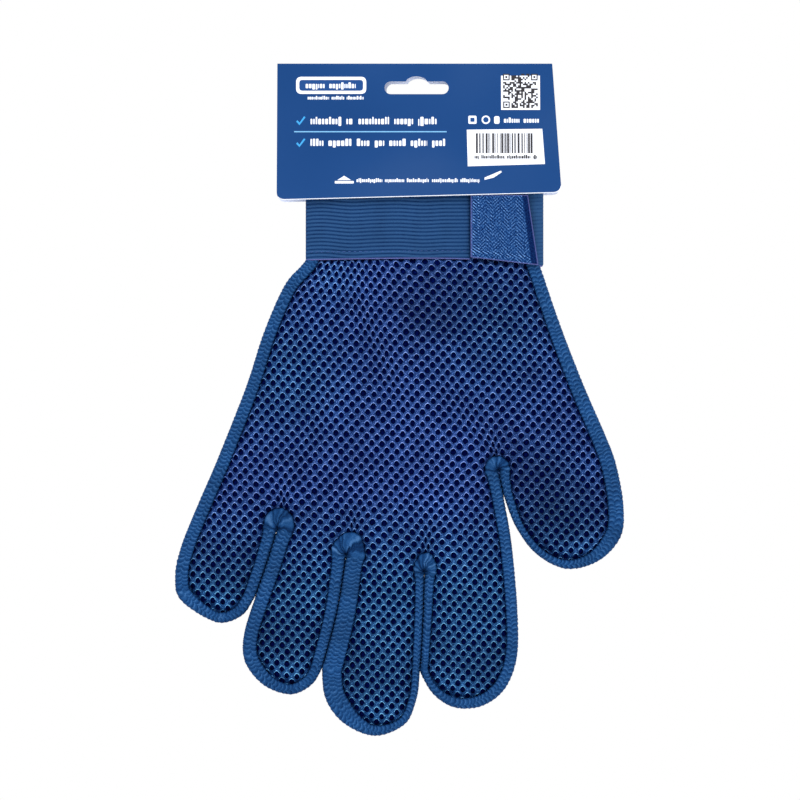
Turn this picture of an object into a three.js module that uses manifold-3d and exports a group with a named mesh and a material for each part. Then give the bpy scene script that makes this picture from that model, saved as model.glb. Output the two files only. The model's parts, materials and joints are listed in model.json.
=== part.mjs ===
// A right-hand pet grooming glove with its header card, hanging with the fingers down.
// Units are millimetres. +Z points up to the wrist, +X to the thumb side and +Y out of the
// bristled palm side. The origin is the centre of the wrist opening, at the cuff's top edge.

import * as THREE from "three";
import { mergeVertices } from "three/addons/utils/BufferGeometryUtils.js";
import Module from "manifold-3d";

const wasm = await Module();
wasm.setup();

// ---------------------------------------------------------------- driving dimensions

const GAP = 0.3; // between pieces that touch on the real glove
const SLIT = 2.2; // free width between neighbouring fingers
const BINDING_WIDTH = 5.2; // edge binding, seen from the back of the hand
const JOINT_GAP = 1.1; // half the free width at a bending line of the fabric
const PAD_JOINT_GAP = 2.6; // the same for the rubber pads
const PAD_INSET = 2.5; // from the binding to the edge of a pad
const TIP_PAD_LENGTH = 24; // the stretch of a fingertip's pad that its bristles are centred on

// The glove's layers, each as [low y, high y].
const BINDING_LAYER = [-5, 4.5];
const MESH_LAYER = [-6, -3];
const PALM_FABRIC_LAYER = [3, 4.2];
const PAD_LAYER = [4.5, 6];

// A bristle's radii at its base and tip, and how its rows keep clear of edges and bending lines.
const BRISTLE = { base: 1.5, tip: 0.9, top: 10.5, sides: 6, pitch: 10, edgeGap: 2.1, jointGap: 6 };
const BRISTLE_SUNK = 0.5; // how deep a bristle's foot reaches into its pad
const HALF_FIELD = 150; // a lattice of bristles this far each way covers any pad
const CUT_REACH = 26; // how far from its middle a bending line keeps bristles away

// Slits between the fingers, from the top of the gathered binding down to the slit's mouth.
const LITTLE_RING = [[-61.5, -154], [-63.9, -163.4], [-68.9, -179.4], [-74.1, -194.3]];
const RING_MIDDLE = [[-30.4, -164.7], [-33.7, -174.8], [-37.8, -200], [-44.5, -225.4]];
const MIDDLE_INDEX = [[1.4, -173.2], [0.7, -182.9], [0, -204], [-1.2, -226.4]];
const INDEX_THUMB = [[32, -133.2], [33.7, -139.9], [35.7, -150]];

// Outer edges of the hand, from the cuff down.
const CUFF_BOTTOM = -46.2;
const LITTLE_EDGE = [[-51.5, CUFF_BOTTOM], [-61, -57], [-69.9, -77.4], [-77.5, -100.7], [-90.3, -133.2]];
const THUMB_EDGE = [[50.4, CUFF_BOTTOM], [57, -64.6], [62.5, -80], [71, -101.5], [80.6, -123.6]];

// Each finger's edge runs from its upper left, round the tip, to its upper right. Its knuckle
// is the middle of the line where it leaves the palm, and joint is how far beyond it bends again.
const FINGERS = [
  {
    name: "little",
    before: LITTLE_EDGE,
    edge: [[-98, -151], [-106, -170.7], [-108.8, -184], [-106, -195], [-91, -204.3], [-80, -201.8]],
    after: LITTLE_RING,
    knuckle: [-82.6, -161.2],
    along: [-0.277, -0.961],
    joint: 21,
  },
  {
    name: "ring",
    before: LITTLE_RING,
    edge: [[-78.6, -210], [-78, -222], [-70, -232], [-58.5, -236.1], [-49.3, -232.3]],
    after: RING_MIDDLE,
    knuckle: [-49.5, -171],
    along: [-0.235, -0.972],
    joint: 31,
  },
  {
    name: "middle",
    before: RING_MIDDLE,
    edge: [[-42.6, -238.5], [-34.5, -249], [-21, -254.3], [-8, -249.2], [-2.8, -238]],
    after: MIDDLE_INDEX,
    knuckle: [-17, -180],
    along: [-0.13, -0.992],
    joint: 36,
  },
  {
    name: "index",
    before: MIDDLE_INDEX,
    edge: [[4.5, -236], [14, -241.9], [26, -241.2], [36, -233.6], [41.2, -220], [41.5, -200], [39, -171]],
    after: INDEX_THUMB,
    knuckle: [20.5, -181.5],
    along: [0, -1],
    joint: 29,
  },
  {
    name: "thumb",
    before: INDEX_THUMB,
    edge: [[41, -162.8], [50, -174.6], [63, -181], [77, -177.6], [86.8, -167], [88, -153], [85, -136]],
    after: THUMB_EDGE,
    knuckle: [58.4, -134.7],
    along: [0.25, -0.968],
  },
];

// Cuff: the elastic bands' layers and reach.
const CUFF_HEIGHT = 45;
const BAND_BACK_LAYER = [-6.4, -4.9];
const REAR_BAND = { left: -51.4, right: 53, outer: 4.6, inner: 3.2, underlapLeft: 18 };
const TAB_LEFT = 20.9;
const TAB_OUTLINE = [[TAB_LEFT, -17.9], [45.9, -17.2], [50.5, -47.9], [TAB_LEFT, -43.9]];
const TAB_FABRIC_LAYER = [-9.3, -8.3];
const TAB_ELASTIC_LAYER = [-8, -6.7];
const HOOK_LAYER = [-6.4, -5.8];
const LOOP_LAYER = [-5.5, -4.9];

// Header card: a hairpin of card, wider at its open lower end.
const CARD = {
  thickness: 0.5,
  outline: [[-64, -19.5], [60.6, -16.2], [56.8, 41.1], [-64, 41.1]],
  cornerRadius: 3.7,
  foldRadius: 1.2,
  front: -10.2,
  rear: 7.4,
};
const SLOT = { centre: [-2.8, 30.2], halfLength: 14.1, halfHeight: 2.8, humpTop: 35.3, humpHalf: 4.7 };

// ---------------------------------------------------------------- plane geometry, in X and Z

const vec = ([x, z]) => new THREE.Vector2(x, z);
const shifted = (points, dx) => points.map(([x, z]) => [x + dx, z]);
const reversed = (points) => [...points].reverse();

// A smooth line through the points, with a step about every 5 mm.
function smooth(points) {
  const curve = new THREE.SplineCurve(points.map(vec));
  return curve.getSpacedPoints(Math.ceil(curve.getLength() / 5));
}

// An open line moved sideways, to the left of its direction.
function inset(line, distance) {
  return line.map((point, i) => {
    const next = line[Math.min(i + 1, line.length - 1)];
    const last = line[Math.max(i - 1, 0)];
    const way = next.clone().sub(last).normalize();
    return new THREE.Vector2(point.x - way.y * distance, point.y + way.x * distance);
  });
}

// The part of a polygon, or of an open line, on the side of a straight cut that `keep` points to.
function clip(points, cut, keep, closed = true) {
  const side = (p) => p.clone().sub(cut).dot(keep);
  const result = [];
  points.forEach((point, i) => {
    if (i > 0 || closed) {
      const previous = points[(i + points.length - 1) % points.length];
      const a = side(previous);
      const b = side(point);
      if (a * b < 0) result.push(previous.clone().lerp(point, a / (a - b)));
    }
    if (side(point) >= 0) result.push(point.clone());
  });
  return result;
}

// A closed polygon without the points that lie within 4 mm of a neighbour, unless they are corners.
function spaced(polygon) {
  return polygon.filter((point, i) => {
    const before = point.clone().sub(polygon[(i + polygon.length - 1) % polygon.length]);
    const after = polygon[(i + 1) % polygon.length].clone().sub(point);
    const isCorner = before.angleTo(after) > 0.4;
    return isCorner || Math.min(before.length(), after.length()) > 4;
  });
}

// A closed polygon drawn inwards by the same distance all round. It runs anticlockwise.
function shrink(polygon, distance) {
  const count = polygon.length;
  return polygon.map((point, i) => {
    const before = point.clone().sub(polygon[(i + count - 1) % count]).normalize();
    const after = polygon[(i + 1) % count].clone().sub(point).normalize();
    const normal = new THREE.Vector2(-before.y - after.y, before.x + after.x).normalize();
    const spread = Math.max(0.35, normal.dot(new THREE.Vector2(-after.y, after.x)));
    return point.clone().addScaledVector(normal, distance / spread);
  });
}

function distanceToEdge(point, polygon) {
  const spans = polygon.map((a, i) => {
    const span = polygon[(i + 1) % polygon.length].clone().sub(a);
    const t = THREE.MathUtils.clamp(point.clone().sub(a).dot(span) / span.lengthSq(), 0, 1);
    return point.distanceTo(a.clone().addScaledVector(span, t));
  });
  return Math.min(...spans);
}

function isInside(point, polygon) {
  const crossings = polygon.filter((a, i) => {
    const b = polygon[(i + 1) % polygon.length];
    const level = (point.y - a.y) / (b.y - a.y);
    return a.y > point.y !== b.y > point.y && point.x < a.x + (b.x - a.x) * level;
  });
  return crossings.length % 2 === 1;
}

// A quadrilateral or other polygon with each corner rounded.
function roundedShape(corners, radius) {
  const shape = new THREE.Shape();
  corners.map(vec).forEach((corner, i, all) => {
    const before = all[(i + all.length - 1) % all.length].clone().sub(corner).normalize();
    const after = all[(i + 1) % all.length].clone().sub(corner).normalize();
    const start = corner.clone().addScaledVector(before, radius);
    const end = corner.clone().addScaledVector(after, radius);
    if (i === 0) shape.moveTo(start.x, start.y);
    else shape.lineTo(start.x, start.y);
    shape.quadraticCurveTo(corner.x, corner.y, end.x, end.y);
  });
  return shape;
}

// ---------------------------------------------------------------- solids

// A flat piece: an outline in X and Z given its thickness along Y.
function sheet(outline, [low, high]) {
  const shape = outline instanceof THREE.Shape ? outline : new THREE.Shape(outline);
  const options = { depth: high - low, bevelEnabled: false, curveSegments: 4 };
  const geometry = new THREE.ExtrudeGeometry(shape, options);
  return geometry.rotateX(Math.PI / 2).translate(0, high, 0);
}

// A piece of one section in X and Y all the way from low z to high z.
function column(section, [low, high]) {
  const shape = section instanceof THREE.Shape ? section : new THREE.Shape(section.map(vec));
  const options = { depth: high - low, bevelEnabled: false, curveSegments: 6 };
  return new THREE.ExtrudeGeometry(shape, options).translate(0, 0, low);
}

function toSolid(geometry) {
  const bare = geometry.clone();
  bare.deleteAttribute("normal");
  bare.deleteAttribute("uv");
  const merged = mergeVertices(bare, 1e-4);
  const mesh = new wasm.Mesh({
    numProp: 3,
    vertProperties: Float32Array.from(merged.attributes.position.array),
    triVerts: Uint32Array.from(merged.index.array),
  });
  return new wasm.Manifold(mesh);
}

function toGeometry(solid) {
  const mesh = solid.getMesh();
  const geometry = new THREE.BufferGeometry();
  geometry.setAttribute("position", new THREE.BufferAttribute(mesh.vertProperties, 3));
  geometry.setIndex(new THREE.BufferAttribute(mesh.triVerts, 1));
  return geometry;
}

// ---------------------------------------------------------------- materials

const finish = (color, roughness) => () =>
  new THREE.MeshStandardMaterial({ color, roughness, metalness: 0 });
const meshFabric = finish("#2a5aa8", 0.85);
const bindingKnit = finish("#17588f", 0.8);
const palmKnit = finish("#1c2f55", 0.9);
const rubber = finish("#2f63b5", 0.5);
const elastic = finish("#35639f", 0.85);
const fuzzyTape = finish("#3c6ab0", 0.95);
const hookTape = finish("#1f3f78", 0.7);
const cardboard = finish("#2a569a", 0.45);

const glove = new THREE.Group();

function add(name, geometry, material) {
  const mesh = new THREE.Mesh(geometry, material());
  mesh.name = name;
  glove.add(mesh);
}

// ---------------------------------------------------------------- the fingers' edges and cuts

// The line along a finger's edge, with the slits on either side half their free width away.
function edgeLine({ before, edge, after }) {
  const left = before === LITTLE_EDGE ? before : shifted(before, SLIT / 2);
  const right = after === THUMB_EDGE ? after : shifted(after, -SLIT / 2);
  return smooth([...left, ...edge, ...reversed(right)]);
}

// What each finger's pieces are cut from: its edge, split at the tip, and its two bending lines.
function layOut(finger) {
  const line = edgeLine(finger);
  const along = vec(finger.along).normalize();
  const knuckle = vec(finger.knuckle);
  const reach = line.map((point) => point.clone().sub(knuckle).dot(along));
  const tip = reach.indexOf(Math.max(...reach));
  const cut = (distance) => knuckle.clone().addScaledVector(along, distance);
  return { ...finger, line, along, tip, cut, back: along.clone().negate() };
}

// The band between a stretch of edge and the same stretch moved inwards.
function bandOutline(line) {
  return [...line, ...reversed(inset(line, BINDING_WIDTH))];
}

const halves = ({ line, tip }) => ({ left: line.slice(0, tip + 1), right: line.slice(tip) });

// The side of a finger's inset edge that lies on the palm, ending on the knuckle line.
function palmSide({ cut, back, ...finger }, side, distance, fromKnuckle = JOINT_GAP) {
  const line = inset(finger.line, distance);
  const part = side === "left" ? line.slice(0, finger.tip + 1) : line.slice(finger.tip);
  return clip(part, cut(-fromKnuckle), back, false);
}

const fingers = FINGERS.map(layOut);
const [little, ring, middle, index, thumb] = fingers;

// ---------------------------------------------------------------- rubber pads

// Where bristles stand on a pad: a staggered lattice lined up with `along`, clear of the pad's
// edge and of every bending line.
function bristleSpots(outline, origin, along, cuts) {
  const across = new THREE.Vector2(-along.y, along.x);
  const rowPitch = BRISTLE.pitch * Math.sqrt(3) / 2;
  const reach = Math.ceil(HALF_FIELD / rowPitch);
  const spots = [];
  for (let row = -reach; row <= reach; row += 1) {
    for (let column = -reach; column <= reach; column += 1) {
      const side = (column + (row % 2 === 0 ? 0 : 0.5)) * BRISTLE.pitch;
      const spot = origin.clone().addScaledVector(along, row * rowPitch).addScaledVector(across, side);
      const clearOfCuts = cuts.every(({ at, keep }) =>
        spot.distanceTo(at) > CUT_REACH || spot.clone().sub(at).dot(keep) > BRISTLE.jointGap);
      const clearOfEdge = isInside(spot, outline) && distanceToEdge(spot, outline) > BRISTLE.edgeGap;
      if (clearOfCuts && clearOfEdge) spots.push(spot);
    }
  }
  return spots;
}

function bristle({ x, y: z }) {
  const height = BRISTLE.top - PAD_LAYER[1] + BRISTLE_SUNK;
  const cone = new THREE.CylinderGeometry(BRISTLE.tip, BRISTLE.base, height, BRISTLE.sides);
  return cone.translate(x, BRISTLE.top - height / 2, z);
}

function padSolid(outline, spots) {
  const pad = toSolid(sheet(outline, PAD_LAYER));
  return toGeometry(spots.reduce((solid, spot) => solid.add(toSolid(bristle(spot))), pad));
}

// ---------------------------------------------------------------- finger segments

// One segment's panels and pad, between two cuts; a cut is left out at the finger's tip.
function addPanels(name, finger, start, end) {
  const between = (outline, gap) => {
    const open = clip(outline, finger.cut(start + gap), finger.along);
    return end === undefined ? open : clip(open, finger.cut(end - gap), finger.back);
  };
  const panel = between(inset(finger.line, BINDING_WIDTH + GAP), JOINT_GAP);
  const padOutline = between(inset(finger.line, BINDING_WIDTH + PAD_INSET), PAD_JOINT_GAP);
  const cuts = [{ at: finger.cut(start), keep: finger.along }];
  if (end !== undefined) cuts.push({ at: finger.cut(end), keep: finger.back });
  const firstBristle = finger.cut((start + (end ?? start + TIP_PAD_LENGTH)) / 2);
  const spots = bristleSpots(padOutline, firstBristle, finger.along, cuts);
  add(`${name}_mesh`, sheet(panel, MESH_LAYER), meshFabric);
  add(`${name}_palm_fabric`, sheet(panel, PALM_FABRIC_LAYER), palmKnit);
  add(`${name}_bristle_pad`, padSolid(padOutline, spots), rubber);
}

function addTip(name, finger, start) {
  addPanels(name, finger, start);
  const band = clip(bandOutline(finger.line), finger.cut(start + JOINT_GAP), finger.along);
  add(`${name}_binding`, sheet(band, BINDING_LAYER), bindingKnit);
}

function addBase(name, finger, end) {
  addPanels(name, finger, 0, end);
  for (const [side, line] of Object.entries(halves(finger))) {
    const strip = clip(bandOutline(line), finger.cut(JOINT_GAP), finger.along);
    const outline = clip(strip, finger.cut(end - JOINT_GAP), finger.back);
    add(`${name}_binding_${side}`, sheet(outline, BINDING_LAYER), bindingKnit);
  }
}

for (const finger of [little, ring, middle, index]) {
  addBase(`${finger.name}_base`, finger, finger.joint);
  addTip(`${finger.name}_tip`, finger, finger.joint);
}
addTip("thumb", thumb, 0);

// ---------------------------------------------------------------- palm

const firstOf = (line) => line[0];
const lastOf = (line) => line[line.length - 1];

// The points where a finger's left and right edges, moved inwards, meet its knuckle line.
function knuckleEnds(finger, distance) {
  return {
    left: lastOf(palmSide(finger, "left", distance)),
    right: firstOf(palmSide(finger, "right", distance)),
  };
}

const NOTCH_HEIGHT = 2; // of the slit's end above the knuckle line

// The gathered binding above a slit: it spans both fingers' bindings, up to the gather's top.
function crotchOutline(leftFinger, rightFinger, slit) {
  const inner = [knuckleEnds(leftFinger, BINDING_WIDTH).right, knuckleEnds(rightFinger, BINDING_WIDTH).left];
  const outer = [knuckleEnds(leftFinger, 0).right, knuckleEnds(rightFinger, 0).left];
  const notch = outer[0].clone().add(outer[1]).multiplyScalar(0.5);
  notch.y = Math.max(outer[0].y, outer[1].y) + NOTCH_HEIGHT;
  return [inner[0], outer[0], notch, outer[1], inner[1], vec(slit[0])];
}

const CROTCHES = [
  ["little_ring", little, ring, LITTLE_RING],
  ["ring_middle", ring, middle, RING_MIDDLE],
  ["middle_index", middle, index, MIDDLE_INDEX],
];
for (const [name, left, right, slit] of CROTCHES) {
  add(`crotch_binding_${name}`, sheet(crotchOutline(left, right, slit), BINDING_LAYER), bindingKnit);
}

// The band along an outer edge of the palm, from a finger's knuckle line upwards.
function palmEdgeBand(finger, side) {
  return clip(bandOutline(halves(finger)[side]), finger.cut(-JOINT_GAP), finger.back);
}

add("palm_binding_little_side", sheet(palmEdgeBand(little, "left"), BINDING_LAYER), bindingKnit);
add("palm_binding_thumb_side", sheet(palmEdgeBand(thumb, "right"), BINDING_LAYER), bindingKnit);

const BRIDGE_HEIGHT = 3;

// Between index and thumb the binding runs down the palm's edge and up round the thumb's root,
// and a short bridge at the top of the slit joins the two runs.
function indexThumbBinding() {
  const [x, z] = INDEX_THUMB[0];
  const top = z - 5 * GAP;
  const bottom = top - BRIDGE_HEIGHT;
  const half = (BINDING_WIDTH + SLIT) / 2;
  const bridge = [[x - half, top], [x - half, bottom], [x + half, bottom], [x + half, top]];
  const runs = [palmEdgeBand(index, "right"), palmEdgeBand(thumb, "left")];
  const outlines = runs.map((run) => clip(run, vec([x, top]), new THREE.Vector2(0, -1)));
  const solids = [...outlines, bridge.map(vec)].map((outline) => toSolid(sheet(outline, BINDING_LAYER)));
  return toGeometry(solids.reduce((whole, solid) => whole.add(solid)));
}

add("crotch_binding_index_thumb", indexThumbBinding(), bindingKnit);

// The palm's panel runs anticlockwise: down the little finger's side, along the knuckles and
// round each gather, round the thumb's root and up the thumb's side.
function palmOutline() {
  const distance = BINDING_WIDTH + GAP;
  const over = (slit) => vec(slit[0]).add(new THREE.Vector2(0, 2.5 * GAP));
  const knuckles = [ring, middle].flatMap((finger) => {
    const ends = knuckleEnds(finger, distance);
    return [ends.left, ends.right, over(finger.after)];
  });
  return spaced([
    ...palmSide(little, "left", distance),
    knuckleEnds(little, distance).right,
    over(LITTLE_RING),
    ...knuckles,
    knuckleEnds(index, distance).left,
    ...palmSide(index, "right", distance),
    ...palmSide(thumb, "left", distance),
    ...palmSide(thumb, "right", distance),
  ]);
}

const palm = palmOutline();
const palmPad = shrink(palm, PAD_INSET);
const knuckleCuts = fingers.map(({ cut, back }) => ({ at: cut(0), keep: back }));
const palmCentre = new THREE.Vector2(-10, -110);
const towardsFingers = new THREE.Vector2(0, -1);
const palmSpots = bristleSpots(palmPad, palmCentre, towardsFingers, knuckleCuts);
add("palm_mesh", sheet(palm, MESH_LAYER), meshFabric);
add("palm_fabric", sheet(palm, PALM_FABRIC_LAYER), palmKnit);
add("palm_bristle_pad", padSolid(palmPad, palmSpots), rubber);

// ---------------------------------------------------------------- cuff and closure

const CUFF_SPAN = [-CUFF_HEIGHT, 0];
const bandRight = TAB_LEFT - 1.2;
const cuffBack = [
  [REAR_BAND.left, BAND_BACK_LAYER[0]],
  [bandRight, BAND_BACK_LAYER[0]],
  [bandRight, BAND_BACK_LAYER[1]],
  [REAR_BAND.left, BAND_BACK_LAYER[1]],
];
add("cuff_elastic_back", column(cuffBack, CUFF_SPAN), elastic);

// The palm-side band turns forward at both ends; at the thumb side it folds back under the tab.
function rearBandSection({ left, right, outer, inner, underlapLeft }) {
  const bend = right - outer;
  const wall = left + outer - inner;
  const section = new THREE.Shape();
  section.moveTo(left, -outer);
  section.lineTo(wall, -outer);
  section.lineTo(wall, inner);
  section.lineTo(bend, inner);
  section.absarc(bend, 0, inner, Math.PI / 2, -Math.PI / 2, true);
  section.lineTo(underlapLeft, -inner);
  section.lineTo(underlapLeft, -outer);
  section.lineTo(bend, -outer);
  section.absarc(bend, 0, outer, -Math.PI / 2, Math.PI / 2, false);
  section.lineTo(left, outer);
  return section;
}

add("cuff_elastic_palm", column(rearBandSection(REAR_BAND), CUFF_SPAN), elastic);

const TAPE_INSET = 2; // from the tab's edge to the tapes sewn on its inner side
const tabOutline = TAB_OUTLINE.map(vec);
const insideTab = shrink(reversed(tabOutline), TAPE_INSET);
const tapeOutline = clip(insideTab, new THREE.Vector2(0, -CUFF_HEIGHT + 1), new THREE.Vector2(0, 1));
add("tab_fuzzy_patch", sheet(tabOutline, TAB_FABRIC_LAYER), fuzzyTape);
add("tab_elastic", sheet(tabOutline, TAB_ELASTIC_LAYER), elastic);
add("tab_hook_tape", sheet(tapeOutline, HOOK_LAYER), hookTape);
add("rear_band_loop_tape", sheet(tapeOutline, LOOP_LAYER), fuzzyTape);

// ---------------------------------------------------------------- header card

// Both leaves and the fold, as one strip in Y and Z that runs through the whole width.
function cardStrip({ outline, thickness, foldRadius, front, rear }) {
  const top = outline[2][1];
  const low = outline[0][1] - 1;
  const foldHeight = top - foldRadius;
  const strip = new THREE.Shape();
  strip.moveTo(front - thickness / 2, low);
  strip.lineTo(-foldRadius, foldHeight);
  strip.absarc(0, foldHeight, foldRadius, Math.PI, 0, true);
  strip.lineTo(rear + thickness / 2, low);
  strip.lineTo(rear - thickness / 2, low);
  strip.lineTo(foldRadius - thickness, foldHeight);
  strip.absarc(0, foldHeight, foldRadius - thickness, 0, Math.PI, false);
  strip.lineTo(front + thickness / 2, low);
  const [left, right] = [outline[0][0] - 1, outline[1][0] + 1];
  const geometry = column(strip, [left, right]);
  // The section's Y and Z lie in the shape's X and Y, so the strip is turned to run along X.
  return geometry.rotateX(Math.PI / 2).rotateZ(Math.PI / 2);
}

// The hang slot: a long slot with a hump in the middle of its upper side.
function slotOutline({ centre: [x, z], halfLength, halfHeight, humpTop, humpHalf }) {
  const slot = new THREE.Shape();
  const straight = halfLength - halfHeight;
  slot.moveTo(x - straight, z - halfHeight);
  slot.lineTo(x + straight, z - halfHeight);
  slot.absarc(x + straight, z, halfHeight, -Math.PI / 2, Math.PI / 2, false);
  slot.lineTo(x + humpHalf, z + halfHeight);
  slot.quadraticCurveTo(x, 2 * humpTop - z - halfHeight, x - humpHalf, z + halfHeight);
  slot.lineTo(x - straight, z + halfHeight);
  slot.absarc(x - straight, z, halfHeight, Math.PI / 2, 1.5 * Math.PI, false);
  return slot;
}

const CARD_DEPTH = [-15, 15]; // well past both leaves
const cardFace = toSolid(sheet(roundedShape(CARD.outline, CARD.cornerRadius), CARD_DEPTH));
const cardSlot = toSolid(sheet(slotOutline(SLOT), CARD_DEPTH));
const card = toSolid(cardStrip(CARD)).intersect(cardFace).subtract(cardSlot);
add("header_card", toGeometry(card), cardboard);

export default glove;
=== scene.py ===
"""A five-finger pet grooming glove with its header card, hanging with the fingers down.

The numbers below are millimetres in the CAD frame: +X to the thumb, +Y out of the bristled palm
side and +Z up to the wrist. make_piece() turns them into metres.
"""
import json
import math

import bmesh
import bpy
import numpy as np
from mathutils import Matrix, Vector
from mathutils.geometry import tessellate_polygon
from mathutils.kdtree import KDTree


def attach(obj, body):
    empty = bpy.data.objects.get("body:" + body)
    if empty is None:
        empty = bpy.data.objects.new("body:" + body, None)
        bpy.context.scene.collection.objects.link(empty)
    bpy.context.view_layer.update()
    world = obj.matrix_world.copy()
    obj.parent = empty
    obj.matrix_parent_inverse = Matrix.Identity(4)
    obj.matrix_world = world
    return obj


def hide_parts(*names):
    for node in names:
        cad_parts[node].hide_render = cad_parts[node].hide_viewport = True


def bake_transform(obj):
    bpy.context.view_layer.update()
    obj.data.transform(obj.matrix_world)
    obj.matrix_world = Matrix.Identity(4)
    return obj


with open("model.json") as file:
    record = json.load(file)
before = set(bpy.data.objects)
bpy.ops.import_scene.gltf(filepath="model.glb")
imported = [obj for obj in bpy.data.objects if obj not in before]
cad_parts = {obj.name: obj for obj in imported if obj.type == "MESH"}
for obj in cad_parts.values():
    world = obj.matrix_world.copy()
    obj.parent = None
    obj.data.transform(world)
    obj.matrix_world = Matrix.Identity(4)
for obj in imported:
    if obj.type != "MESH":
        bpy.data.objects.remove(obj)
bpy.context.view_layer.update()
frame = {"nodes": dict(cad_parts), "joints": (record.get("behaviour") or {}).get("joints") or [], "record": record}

MM = 0.001
rng = np.random.default_rng(7)


# ---------------------------------------------------------------- the glove's outline

SLIT = 0.45  # free width between neighbouring fingers' tapes, at the front
NOTCH = 0.8  # half the width of the small opening at the top of each slit
CUFF_BOTTOM = -46.2
TAPE_INSIDE = 1.5  # from the glove's edge to where the layers inside the tape end
EDGE_REACH = 8.0  # how far from the edge a layer may be drawn back to it

# Each slit from the top of its gathered tape, through the notch, to its mouth.
LITTLE_RING = [[-61.5, -154], [-63.9, -163.4], [-68.9, -179.4], [-74.1, -194.3]]
RING_MIDDLE = [[-30.4, -164.7], [-33.7, -174.8], [-37.8, -200], [-44.5, -225.4]]
MIDDLE_INDEX = [[1.4, -173.2], [0.7, -182.2], [0, -204], [-1.2, -226.4]]
INDEX_THUMB = [[31.8, -131.5], [33.2, -137.6], [33.9, -141.5], [35.7, -150]]
LITTLE_EDGE = [[-50.4, -43.4], [-51.2, -45.4], [-54, -48.6], [-61, -57], [-69.9, -77.4], [-77.5, -100.7],
               [-90.3, -133.2]]
THUMB_EDGE = [[50.3, -45.5], [52.4, -51], [57, -64.6], [62.5, -80], [71, -101.5], [80.6, -123.6]]

# Each finger's edge from its left slit round the tip to its right slit, and how wide the tape
# shows: at the top and low on its left, at its tip, and low and at the top on its right.
FINGERS = {
    "little": dict(
        before=LITTLE_EDGE, after=LITTLE_RING, tape=(5.4, 6.0, 4.3, 4.9, 5.4),
        edge=[[-98, -151], [-106, -170.7], [-108.8, -184], [-106, -195], [-91, -204.3], [-80, -201.8]],
    ),
    "ring": dict(
        before=LITTLE_RING, after=RING_MIDDLE, tape=(6.4, 6.2, 4.4, 4.8, 5.6),
        edge=[[-78.6, -210], [-78, -222], [-70, -232], [-58.5, -236.1], [-49.3, -232.3]],
    ),
    "middle": dict(
        before=RING_MIDDLE, after=MIDDLE_INDEX, tape=(7.4, 8.8, 4.8, 3.4, 3.8),
        edge=[[-42.6, -238.5], [-34.5, -249], [-21, -254.3], [-8, -249.2], [-2.8, -238]],
    ),
    "index": dict(
        before=MIDDLE_INDEX, after=INDEX_THUMB, tape=(4.2, 3.4, 4.6, 5.2, 5.2),
        edge=[[4.5, -236], [14, -241.9], [26, -241.2], [36, -233.6], [41.2, -220], [41.5, -200],
              [39, -171]],
    ),
    "thumb": dict(
        before=INDEX_THUMB, after=THUMB_EDGE, tape=(4.2, 3.2, 4.4, 7.0, 5.6),
        edge=[[41, -162.8], [50, -174.6], [63, -181], [77, -177.6], [86.8, -167], [88, -153], [85, -136]],
    ),
}

RIB_PITCH = 1.9  # of the tape's knit, along the edge
STEPS_PER_RIB = 6
MOST_STEPS = 60  # of the edge that one face of the mesh may reach over


def base_of(name):
    """The body that a finger's base is on."""
    return name if name == "thumb" else f"{name}_base"


def joint_of(body):
    """The joint that carries a body: its place (x, z) in mm and the way down the finger."""
    joint = next(j for j in frame["joints"] if j["child"] == body)
    axis = joint["axis"]
    return np.array(joint["pos_m"])[[0, 2]] / MM, np.array([axis[2], -axis[0]])


def smooth_line(points, spacing=0.5):
    """A smooth line through the points (Catmull-Rom), in equal short steps."""
    points = np.array(points, float)
    ends = np.vstack([2 * points[0] - points[1], points, 2 * points[-1] - points[-2]])
    pieces = []
    for a, b, c, d in zip(ends, ends[1:], ends[2:], ends[3:]):
        t = np.linspace(0, 1, 40, endpoint=False)[:, None]
        pieces.append(
            0.5 * (2 * b + (c - a) * t + (2 * a - 5 * b + 4 * c - d) * t**2 + (3 * b - a - 3 * c + d) * t**3)
        )
    dense = np.vstack(pieces + [points[-1:]])
    return resample(dense, spacing)


def lengths(line):
    """The distance of each point of a line from its start, along the line."""
    return np.concatenate([[0], np.cumsum(np.linalg.norm(np.diff(line, axis=0), axis=1))])


def resample(line, spacing, *others):
    """A line in equal steps, and any other values that belong to its points."""
    at = lengths(line)
    want = np.linspace(0, at[-1], max(2, round(at[-1] / spacing) + 1))
    out = [np.stack([np.interp(want, at, column) for column in values.T], 1)
           for values in (line, *others)]
    return out[0] if not others else out


def normals(line):
    """The unit direction to the left of a line, at each point."""
    way = np.gradient(line, axis=0)
    way /= np.linalg.norm(way, axis=1)[:, None]
    return np.stack([-way[:, 1], way[:, 0]], 1)


def softened(line, reach):
    """A line with its kinks rounded over reach steps each way. Its ends stay."""
    kernel = np.hanning(2 * reach + 1)
    kernel /= kernel.sum()
    ends = [2 * line[0] - line[reach:0:-1], line, 2 * line[-1] - line[-2:-reach - 2:-1]]
    long = np.vstack(ends)
    return np.stack([np.convolve(column, kernel, mode="valid") for column in long.T], 1)


def opened(slit, side):
    """One side of a slit below its notch, and half the slit's width at each point."""
    line = smooth_line(slit[1:])
    half = SLIT / 2 + (NOTCH - SLIT / 2) * np.exp(-lengths(line) / 1.5)
    return line + side * half[:, None] * np.array([1, 0]), half


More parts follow.
